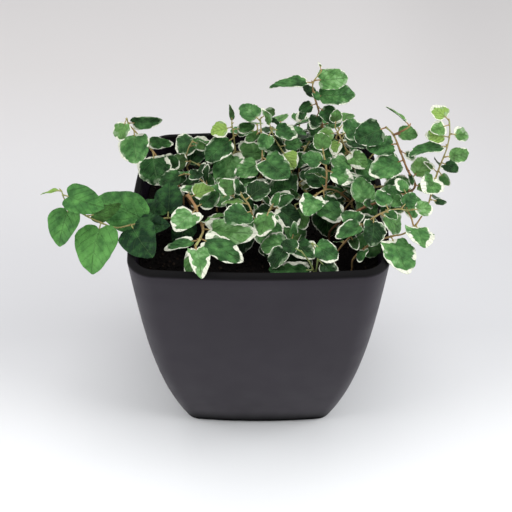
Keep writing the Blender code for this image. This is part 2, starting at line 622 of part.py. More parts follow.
def main():
    bpy.data.batch_remove(list(bpy.data.objects))
    shoots = placed_shoots() + crown_shoots()
    curves = bend_clear(shoots)
    pot = make_pot()
    roots = [curve[0][:2] for s, curve in zip(shoots, curves) if s["joins"] is None]
    soil = make_soil(roots)
    room = Room()
    for thing in (pot, soil):
        vertices = [v.co / MM for v in thing.data.vertices]
        room.add((vertices, [tuple(face.vertices) for face in thing.data.polygons]))
    for s, curve in zip(shoots, curves):
        room.add(tube_solid(curve), "tube " + s["node"])
    leaves = place_leaves(shoots, curves, room)
    make_stems(shoots, curves, leaves)


main()
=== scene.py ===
"""Looks of a creeping fig with cream-edged leaves, in its square dark plastic pot.

Sizes are in millimetres and are turned into metres where a mesh is made. The stems run where their
solids run, and each fine leaf stands where its solid leaf stands, with the same arch and fold.
"""

import json
import math
import random

import bmesh
import bpy
import numpy as np
from mathutils import Matrix, Vector, noise
from mathutils.kdtree import KDTree

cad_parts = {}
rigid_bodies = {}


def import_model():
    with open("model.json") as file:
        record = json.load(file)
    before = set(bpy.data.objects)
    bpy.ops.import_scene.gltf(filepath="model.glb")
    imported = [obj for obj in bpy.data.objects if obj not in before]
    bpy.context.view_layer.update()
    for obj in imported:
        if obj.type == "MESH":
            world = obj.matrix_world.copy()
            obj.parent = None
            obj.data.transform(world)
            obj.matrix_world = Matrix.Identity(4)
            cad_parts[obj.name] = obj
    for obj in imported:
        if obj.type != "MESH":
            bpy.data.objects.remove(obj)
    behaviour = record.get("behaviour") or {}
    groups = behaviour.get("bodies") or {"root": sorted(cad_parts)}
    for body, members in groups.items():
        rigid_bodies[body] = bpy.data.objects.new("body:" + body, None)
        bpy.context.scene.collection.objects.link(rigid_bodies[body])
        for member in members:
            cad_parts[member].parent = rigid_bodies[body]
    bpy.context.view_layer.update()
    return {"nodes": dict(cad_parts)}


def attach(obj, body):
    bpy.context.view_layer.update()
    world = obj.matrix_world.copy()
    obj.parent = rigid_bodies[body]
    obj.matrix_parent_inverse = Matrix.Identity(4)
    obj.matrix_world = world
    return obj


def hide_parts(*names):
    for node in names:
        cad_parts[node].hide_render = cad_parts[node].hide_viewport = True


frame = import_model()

MM = 0.001

# The camera, as the photograph was taken: its lens, what it looks at, how far off and how high.
LENS = 71.27
SENSOR = 36.0
LOOKS_AT = (-1.25, 0.0, 85.3)
CAMERA_DISTANCE = 545.5
CAMERA_DOWN = 38.284
NEAREST_SEEN = 10.0

# The pot: outer half-widths, heights and the curve of its wall.
POT_HEIGHT = 124.0
POT_TOP_HALF = 65.0
POT_BASE_HALF = 41.6
POT_LIP = 2.5
POT_LIP_ROUND = 2.2
POT_LIP_FLAT = 1.5
LIP_DEPTH = 6.0
LEDGE_DROP = 1.0
POT_WALL = 2.5
POT_FLOOR = 3.0
FLOOR_ROUND = 2.0
POT_CURVE_STRAIGHT = 0.521
POT_CURVE_POWER = 3.154
POT_CORNER_TOP = 15.2
POT_CORNER_BASE = 8.4
POT_BULGE_TOP = 2.0
POT_BULGE_BASE = 1.6
POT_FOOT_ROUND = 2.2
SMALLEST_CORNER = 2.0
CORNER_STEPS = 10
SIDE_STEPS = 10
WALL_STEPS = 26
ROUND_STEPS = 6
DRAIN_RADIUS = 4.5
DRAIN_AT = 24.0
DRAIN_SIDES = 24

# The soil: its clearance, its height and dome, and how lumpy its top is.
GAP = 0.3
SOIL_LEVEL = 107.0
SOIL_DOME = 3.0
SOIL_DOME_RADIUS = 60.0
SOIL_EDGE = 0.4
BROAD_LUMPS = 0.5
BROAD_WAVES = (0.13, 0.11)
SMALL_LUMPS = 0.35
SMALL_WAVES = (0.31, 0.23)
SOIL_ROUGHNESS = 0.8
ROUGH_WAVES = 0.28
HOLE_DEPTH = 8.0

# Stems and leaves as the solids have them, and how near a leaf's marks lie to its solid's corners.
SAMPLES = 4
STEM_SPACE = 2.7
STEM_ROUNDS = 60
STEM_BASE_RADIUS = 0.95
STEM_TIP_RADIUS = 0.6
BLADE_HALF_THICKNESS = 0.33
STALK_LENGTH = 2.4
LEAF_ARCH = 0.16
LEAF_FOLD = 0.16
LEAF_WAVE = 0.035
LOBED_FROM = 12.5
WIDEST_AT = 0.27
FOUND_WITHIN = 0.05
LEAF_TURNS = (0, 12, -12, 25, -25, 40, -40)
LEAF_LIFTS = (0, -13, 13, -27, 27, -40)
LEAF_TRIES = sorted(((turn, lift) for turn in LEAF_TURNS for lift in LEAF_LIFTS),
                    key=lambda pair: abs(pair[0]) + abs(pair[1]))

# The ways that the faces of a shoot's leaves look.
FRONT = (0.0, -0.52, 0.85)
FRONT_LOW = (0.0, -0.25, 0.97)
LEFT = (-0.2, -0.5, 0.84)
RIGHT = (0.2, -0.5, 0.84)

# Rule for the shoots that fill the crown: where they stand and lean, how far they reach.
CROWN_SEED = 11
CROWN_SHOOTS = (
    # place of the root, the bearing it leans to in degrees from +X, and how high it rises
    (0, 50, 92, 17), (20, 50, 75, 20), (40, 46, 55, 24), (54, 28, 15, 22), (16, 36, 100, 24),
    (40, 22, 70, 28), (-22, 8, 175, 22), (-8, 2, 240, 24), (10, -8, 255, 24), (18, -30, 255, 16),
    (20, 20, 60, 27), (-24, 22, 150, 17),
)
CROWN_REACH = (11.0, 20.0)
CROWN_CURVE = ((0, 0), (0.02, 0.08), (0.25, 0.6), (0.6, 0.92), (1.0, 1.0))
CROWN_FACE = (0, -0.22, 0.9)
CROWN_LEAN = 0.3

# Its leaves: how many, their places, length, width, and how each turns, droops and rolls in degrees.
CROWN_LEAVES = 4
CROWN_FIRST_LEAF = 1.5
CROWN_LEAF_SPAN = 2.5
CROWN_LEAF = (12.5, 15.5)
CROWN_LEAF_SHRINK = 0.3
CROWN_WIDTH = (0.78, 0.95)
CROWN_SIDE_TURN = (50, 75)
CROWN_TIP_TURN = (-20, 20)
CROWN_DROOP = (-10, 20)
CROWN_ROLL = (-25, 25)

# Bare points of a leafy stem: whether each is on a stem's axis, a blade or a stalk, what it carries as
# (kind of value, what it is where there is none, names), and what the finished mesh no longer needs.
STEM = 0
BLADE = 1
STALK = 2
POINT_VALUES = (("INT", 0, ("kind", "shape")),
                ("FLOAT", 0.0, ("thick", "bark", "young", "cream", "span", "tone")),
                ("FLOAT_VECTOR", (0, 0, 0), ("turn", "size")))
SPENT_VALUES = ("shape", "turn", "size", "thick", "kind")

# Where Blender's random value node keeps each kind of value.
RANDOM_PLACES = {"FLOAT_VECTOR": 0, "FLOAT": 1, "INT": 2}

# Blades: half of an outline as (along, across) in lengths and widths, how ruffled, a seed, its rings.
LOBED_HALF = ((0.02, 0.0), (-0.03, 0.16), (0.0, 0.33), (0.11, 0.455), (0.27, 0.5), (0.5, 0.49),
              (0.7, 0.42), (0.87, 0.27), (0.965, 0.12), (1.0, 0.0))
TOOTHED_HALF = ((0.0, 0.0), (0.0, 0.15), (0.05, 0.35), (0.17, 0.465), (0.33, 0.49), (0.5, 0.5),
                (0.66, 0.44), (0.8, 0.345), (0.93, 0.18), (1.0, 0.0))
ROUND_HALF = ((0.0, 0.0), (0.01, 0.12), (0.05, 0.3), (0.15, 0.44), (0.3, 0.5), (0.5, 0.495),
              (0.7, 0.43), (0.87, 0.28), (0.965, 0.13), (1.0, 0.0))
PLAIN_HALF = ((0.035, 0.0), (-0.04, 0.14), (-0.03, 0.3), (0.08, 0.44), (0.27, 0.5), (0.5, 0.465),
              (0.7, 0.37), (0.87, 0.22), (0.96, 0.09), (1.0, 0.0))
FULL_RINGS = (0.3, 0.58, 0.82, 1.0)
FEW_RINGS = (0.55, 1.0)
BLADE_KINDS = ((LOBED_HALF, 0.8, 1, 3, FULL_RINGS), (LOBED_HALF, 1.2, 2, 3, FULL_RINGS),
               (TOOTHED_HALF, 1.0, 3, 3, FULL_RINGS), (TOOTHED_HALF, 0.7, 9, 3, FULL_RINGS),
               (ROUND_HALF, 0.8, 4, 3, FULL_RINGS), (ROUND_HALF, 1.1, 5, 3, FULL_RINGS),
               (ROUND_HALF, 0.9, 6, 3, FULL_RINGS), (PLAIN_HALF, 0.25, 7, 3, FULL_RINGS),
               (PLAIN_HALF, 0.35, 8, 3, FULL_RINGS), (LOBED_HALF, 1.0, 10, 2, FEW_RINGS),
               (TOOTHED_HALF, 1.3, 11, 2, FEW_RINGS))
LOBED_SHAPES = (0, 1, 2, 3, 4, 5)
ROUND_SHAPES = (4, 5, 6)
PLAIN_SHAPES = (7, 8)
SMALL_SHAPES = (9, 10)
BLADE_MIDDLE = (0.38, 0.0)
BLADE_LEAN = 0.05
BLADE_SIDES = (0.94, 1.04)
BLADE_THIN = 0.011
MARGIN_THINNER = 0.45
BLADE_FULL = 1.1
MIDDLE_TO_MARGIN = 0.42
LEAF_SHARP = 50.0

# The ruffle of a blade's margin: swells round it, how far they push it out and lift it, its scallops.
MARGIN_SWELLS = 3.1
BLADES_APART = 7.3
RUFFLE_RISE = 3
MARGIN_PUSH = 0.07
MARGIN_LIFT = 0.045
SCALLOPS = 13
SCALLOP_DEPTH = 0.022
SCALLOP_DRIFT = 4
SCALLOP_LIFT = 0.12
FLUTTER_SCALE = 190.0
EDGED_FLUTTER = 1.0
PLAIN_FLUTTER = 0.5

# The face of a blade: how much of the solid's fold it keeps, its round crease, its wave and puckers.
FOLD_KEPT = 0.85
CREASE = 0.05
WAVE_LENGTH = 0.86
WAVE_FADE = 0.25
PUCKER_HEIGHT = 0.006
PUCKER_FADE = 6

# A leaf's stalk, with the bud at its foot, and a stem's taper and its swellings at the leaves.
STALK_REACH = 1.45
STALK_ARCH = 0.5
STALK_PLACES = (0, 0.25, 0.5, 0.75, 1)
STALK_RADII = (0.5, 0.4, 0.36, 0.36, 0.3)
STALK_SLIMMEST = 0.6
STALK_FULL_AT = 35
BUD_POINTS = ((0.2, 0.0, 0.2), (0.5, 0.0, 0.8), (0.8, 0.0, 1.3), (0.95, 0.0, 1.7))
BUD_RADII = (0.3, 0.4, 0.25, 0.04)
TUBE_SIDES = 6
STEM_SIDES = 8
STEM_STEPS = 2
STEM_SHARE = {"stem_front_left_arch": 0.95, "stem_right_brown": 0.8, "stem_left_runner": 0.55}
STEM_USUAL = 0.6
STEM_SLIM = 0.86
STEM_SWELL = 0.34
STEM_SWELL_REACH = 0.16

# Small leaves of the crown that only the fine stems carry: how long, and the room round each.
SMALL_SEED = 4
SMALL_LEAF = (6.5, 11.0)
SMALL_WIDTH = (0.45, 0.9)
SMALL_TILT = 60.0
SMALL_FROM = 1.3
SMALL_FROM_FORK = 0.5
SMALL_STEP = 0.42
SMALL_TO_TIP = 1.2
SMALL_APART = 0.15
SMALL_TRIES = 12
SMALL_ROOM = 2.5
SMALL_STEM_ROOM = 1.3
OWN_STEM_REACH = 3.2
SMALL_OVER_SOIL = 2
SMALL_OVER_LIP = 1
SMALL_FROM_WALL = 7
SMALL_BELOW = 150.0
SMALL_UP_TO = {"stem_tall": 170.0}
NO_SMALL_LEAVES = ("stem_left_runner", "stem_top_left", "stem_front_sprout", "stem_front_left_arch")
BLADE_SAMPLES = [(u, v) for u in (0.05, 0.28, 0.52, 0.76, 0.98) for v in (-0.42, -0.2, 0.0, 0.2, 0.42)]

# A leaf's greens, mottle and veins, its cream margin, and the grey green inside that. Swells, here
# and below, are given as how many to a metre, their detail and their strength.
EDGED_GREENS = ((0.0, (0.008, 0.032, 0.008)), (0.3, (0.028, 0.093, 0.025)), (0.6, (0.066, 0.195, 0.052)),
                (0.85, (0.125, 0.3, 0.088)), (1.0, (0.21, 0.42, 0.16)))
PLAIN_GREENS = ((0.0, (0.009, 0.034, 0.013)), (0.5, (0.054, 0.17, 0.043)), (1.0, (0.13, 0.36, 0.085)))
LIME = (0.33, 0.5, 0.1)
UNDER_GREEN = (0.12, 0.25, 0.12)
UNDER_SHARE = 0.45
EDGED_MOTTLE = (230, 4, 1.7)
PLAIN_MOTTLE = (180, 4, 1.6)
VEIN_GREEN = (0.2, 0.38, 0.14)
EDGED_VEINS = 0.25
PLAIN_VEINS = 0.15
VEIN_PAIRS = 4.5
VEIN_SLANT = 0.65
VEIN_BEND = 0.9
VEIN_HALF = 0.09
SIDE_VEIN_SHARE = 0.75
MIDRIB = (0.004, 0.02)
CREAM = (0.84, 0.86, 0.7)
CREAM_WIDTH = 0.55
CREAM_SWELLS = (150, 1, 11.0)
CREAM_MIDDLE = 0.65
CREAM_LEAST = -0.4
CREAM_WOBBLE = (480, 3, 1.8)
CREAM_EDGE = (-0.12, 0.16)
GREY_GREEN = (0.34, 0.46, 0.28)
GREY_PULL = 0.33
GREY_SWELLS = (210, 2, 3.2)
GREY_EDGE = (-0.1, 0.25)
GREY_SHARE = 0.6
LEAF_ROUGHNESS = 0.42
LEAF_SATIN = (700, 2, 0.25)
EDGED_GLOSS = 0.13
PLAIN_GLOSS = 0.09
LEAF_GRAIN = (700, 3, 1.0)
LEAF_PUCKERS = (240, 1, 2.0)
VEIN_SINK = -0.6
LEAF_RELIEF = 0.6

# How each leaf differs: young from 0 to 1, the cream margin's width as a share, and its tone, partly the
# leaf's own green and partly painted light and shade, darker on leaves in shadow.
LEAF_LOOKS = {
    # node: {place on its shoot: (young, cream, tone)}
    "stem_top_left": {
        5.9: (0.12, 0.9, 0.7), 4.5: (0.0, 0.9, 0.68), 3.0: (0.0, 1.3, 0.3), 5.2: (0.0, 1.2, 0.4),
        3.7: (0.0, 0.8, 0.5), 2.6: (0.0, 1.2, 0.3)},
    "stem_back_left": {
        2.4: (0.0, 0.9, 0.3), 2.2: (0.0, 0.8, 0.25), 1.9: (0.0, 0.5, 0.25), 1.5: (0.0, 1.0, 0.25)},
    "stem_back_middle": {
        4.0: (0.0, 1.3, 0.42), 4.75: (0.85, 0.8, 0.8), 3.2: (0.0, 1.1, 0.62), 3.0: (0.05, 0.7, 0.65)},
    "stem_centre_back": {
        5.1: (0.8, 0.6, 0.8), 7.0: (0.0, 0.9, 0.5), 6.8: (0.0, 0.7, 0.55), 3.3: (0.0, 0.6, 0.35)},
    "stem_centre": {5.8: (0.0, 0.5, 0.6), 3.4: (0.0, 0.7, 0.45)},
    "stem_tall": {7.2: (0.04, 0.5, 0.78), 5.8: (0.0, 0.4, 0.5), 7.0: (0.0, 0.6, 0.45)},
    "stem_front_left_arch": {
        4.2: (0.0, 2.0, 0.85), 3.2: (0.5, 1.6, 0.6), 8.0: (0.0, 3.4, 0.9), 7.75: (0.05, 2.9, 0.7),
        7.3: (0.0, 2.3, 0.4), 7.1: (0.0, 2.6, 0.42), 6.0: (0.05, 2.0, 0.9), 5.7: (0.15, 2.4, 0.75)},
    "stem_front_sprout": {
        1.6: (0.0, 4.0, 0.3), 1.25: (0.0, 0.6, 0.12), 3.0: (0.0, 0.9, 0.4), 1.4: (0.0, 0.9, 0.05),
        2.9: (0.0, 0.5, 0.15)},
    "stem_crown_10": {4.0: (0.0, 0.5, 0.12)},
    "stem_crown_07": {4.0: (0.0, 0.9, 0.25)},
    "stem_front_middle": {4.0: (0.25, 0.4, 0.7), 3.0: (0.0, 0.6, 0.55), 2.5: (0.0, 0.4, 0.12)},
    "stem_centre_knot": {4.2: (0.0, 0.6, 0.2), 4.7: (0.0, 2.2, 0.62)},
    "stem_right_front": {3.9: (0.05, 0.8, 0.65), 3.5: (0.0, 0.5, 0.12), 3.0: (0.0, 0.9, 0.45)},
    "stem_far_right": {
        12.0: (0.1, 1.0, 0.7), 3.0: (0.0, 2.0, 0.68), 5.2: (0.0, 2.0, 0.7), 9.0: (0.05, 2.2, 0.62),
        11.8: (0.7, 1.3, 0.8), 13.0: (0.75, 1.2, 0.8), 12.7: (0.15, 0.9, 0.75),
        11.2: (0.0, 0.6, 0.5), 10.5: (0.1, 0.6, 0.55)},
    "stem_right_brown": {
        2.0: (0.15, 0.4, 0.75), 8.9: (0.0, 0.2, 0.2), 6.5: (0.0, 1.0, 0.58), 7.4: (0.0, 0.9, 0.45),
        5.5: (0.2, 0.3, 1.0), 8.0: (0.05, 0.7, 0.65), 4.1: (0.0, 0.9, 0.5)},
    "stem_right_middle": {3.3: (0.0, 1.0, 0.4)},
    "stem_centre_right": {
        5.7: (0.5, 0.9, 0.75), 6.3: (0.25, 1.6, 0.7), 6.9: (0.1, 0.8, 0.5), 6.0: (0.0, 0.6, 0.45),
        4.4: (0.12, 2.0, 0.75)},
    "stem_left_runner": {
        10.0: (0.7, 0.0, 0.8), 3.1: (0.0, 0.0, 0.6), 3.9: (0.0, 0.0, 0.08), 5.75: (0.0, 0.0, 0.92),
        8.15: (0.0, 0.0, 0.7), 9.5: (0.0, 0.0, 0.65), 6.8: (0.1, 0.0, 0.35), 2.2: (0.0, 0.0, 0.1),
        2.6: (0.0, 0.0, 0.15), 1.3: (0.0, 0.0, 0.1), 3.55: (0.0, 0.0, 0.05)},
}

# The look of the other leaves by chance: youth and its power, cream from and by how much, tone up to.
USUAL_LOOK = (0.12, 1, 0.3, 1.6, 0.78)
# The small leaves' lower tone is partly painted shade, as they lie inside the crown.
SMALL_LOOK = (0.3, 6, 0.25, 1.3, 0.55)
YOUNG_WITHIN = 0.7
# Painted shade: how much darker leaves low in the crown are made, below which height, and over how many
# millimetres.
SHADE_DEPTH = 0.3
SHADE_BELOW = 120
SHADE_OVER = 12

# Bark, from lime at a young tip to brown: its colours, and how old it is on each stem.
BARKS = ((0.0, (0.3, 0.4, 0.14)), (0.3, (0.38, 0.32, 0.13)), (0.6, (0.36, 0.195, 0.09)),
         (0.95, (0.1, 0.052, 0.028)))
BARK_OF = {"stem_left_runner": 0.3, "stem_front_sprout": 0.05, "stem_front_left_arch": 0.62,
           "stem_right_brown": 0.85, "stem_far_right": 0.48, "stem_centre_back": 0.32,
           "stem_tall": 0.7, "stem_centre_knot": 0.55, "stem_back_middle": 0.4}
BARK_USUAL = 0.5
BARK_AT_TIP = 0.12
BARK_OF_STALKS = 0.7
BARK_STREAKS = (500, 3, 0.5)
BARK_ROUGHNESS = 0.6
BARK_GLOSS = 0.15
BARK_GRAIN = (1600, 3, 1.0)
BARK_RELIEF = 0.25

# The pot's plastic, and the heights between which its lip and its foot change: painted shade darkens both,
# and their gloss drops.
POT_GREYS = ((0.3, (0.0115, 0.0075, 0.0145)), (0.7, (0.016, 0.0115, 0.0195)))
POT_PATCHES = (28, 4, 1.0)
POT_ROUGHNESS = 0.42
POT_RUBBED = (90, 4, 0.25)
POT_GLOSS = 0.29
POT_GRAIN = (2600, 2, 1.0)
POT_RELIEF = 0.05
POT_SHARP = 35.0
LIP_BAND = (121.2, 122.8)
# Painted shade on the lip, as if shaded by the leaves over it:
LIP_SHADE_GREY = (0.0035, 0.003, 0.0035)
LIP_ROUGHER = 0.4
LIP_GLOSS = 0.17
LIP_EASED = 0.4
FOOT_BAND = (2.5, 15.0)
# Painted shade on the foot, as in the pot's contact shadow:
FOOT_SHADE_GREY = (0.004, 0.004, 0.0045)
FOOT_GLOSS = 0.0

# The soil's mix, the levels of its side and the rings of its top. Its swells' roughness comes last.
SOIL_BROWNS = ((0.1, (0.0032, 0.0024, 0.0022)), (0.5, (0.0085, 0.0058, 0.005)),
               (0.85, (0.02, 0.0135, 0.01)), (1.0, (0.05, 0.035, 0.025)))
SOIL_BITS = (700, 4, 0.7, 0.65)
SOIL_DULLNESS = 0.92
SOIL_GLOSS = 0.15
SOIL_GRAIN = (1400, 4, 1.0, 0.7)
SOIL_RELIEF = 0.9
SOIL_LEVELS = (8, 28, 60, 98)
SOIL_TOP_RINGS = 24

# The crumbs on the soil: shapes, how many to a square metre, their radii, and where they may lie.
CRUMB_KINDS = 3
CRUMB_DENSITY = 150000.0
CRUMB_SEED = 5
CRUMB_RADII = (0.3, 1.1)
CRUMB_ROUGH = 0.5
CRUMB_LUMPS = 1.3
CRUMBS_APART = 5
CRUMB_FLAT = 0.7
CRUMBS_FACE_UP = 0.6
CRUMBS_DOWN_TO = 4
SOIL_CRUMB_SHADE = 0.3

# The tabletop: its tones from front to back, painted light that dims toward the back, its painted shade
# toward the right, and its fine grain.
FLOOR_HALF = 3000.0
FLOOR_REACH = (-0.13, 0.37)
FLOOR_LIGHT_TONES = ((0.0, (0.98, 0.99, 0.995)), (0.1, (0.965, 0.975, 0.98)), (0.2, (0.86, 0.865, 0.87)),
               (0.32, (0.745, 0.745, 0.755)), (0.5, (0.69, 0.685, 0.695)), (1.0, (0.655, 0.635, 0.625)))
FLOOR_SWELLS = (3, 3, 0.06)
FLOOR_SHADE_SIDE = (0.07, 0.22)
FLOOR_SHADE_SHARE = 0.12
BLACK = (0.0, 0.0, 0.0)
FLOOR_ROUGHNESS = 0.7
FLOOR_GLOSS = 0.5
FLOOR_GRAIN = (900, 2, 1.0)
FLOOR_RELIEF = 0.02

# The lights: name, place, size, power in watts, colour; what they look at; and the room.
LIGHTS = (
    ("overhead light", (0, 250, 1250), 900, 4.8, (1.0, 0.99, 1.0)),
    ("left light", (-1000, -200, 550), 800, 6.8, (1.0, 1.0, 1.0)),
    ("right light", (1000, -200, 550), 800, 10.6, (0.98, 0.99, 1.0)),
)
LIGHTS_LOOK_AT = (0, 0, 100)
ROOM_COLOUR = (0.96, 0.97, 1.0)
ROOM_STRENGTH = 0.5


def shoot(node, path, leaves, facing=FRONT, joins=None):
    """A shoot: its node, points along it, its leaves and the way their faces look.

    A leaf is (place along the path in points, clock angle as seen from where it faces, blade length,
    droop in degrees, roll in degrees, width over length). A root is a place in the soil's plan. joins
    is the point of the node's first shoot that this one grows from.
    """
    return {"node": node, "path": path, "leaves": leaves, "facing": facing, "joins": joins}


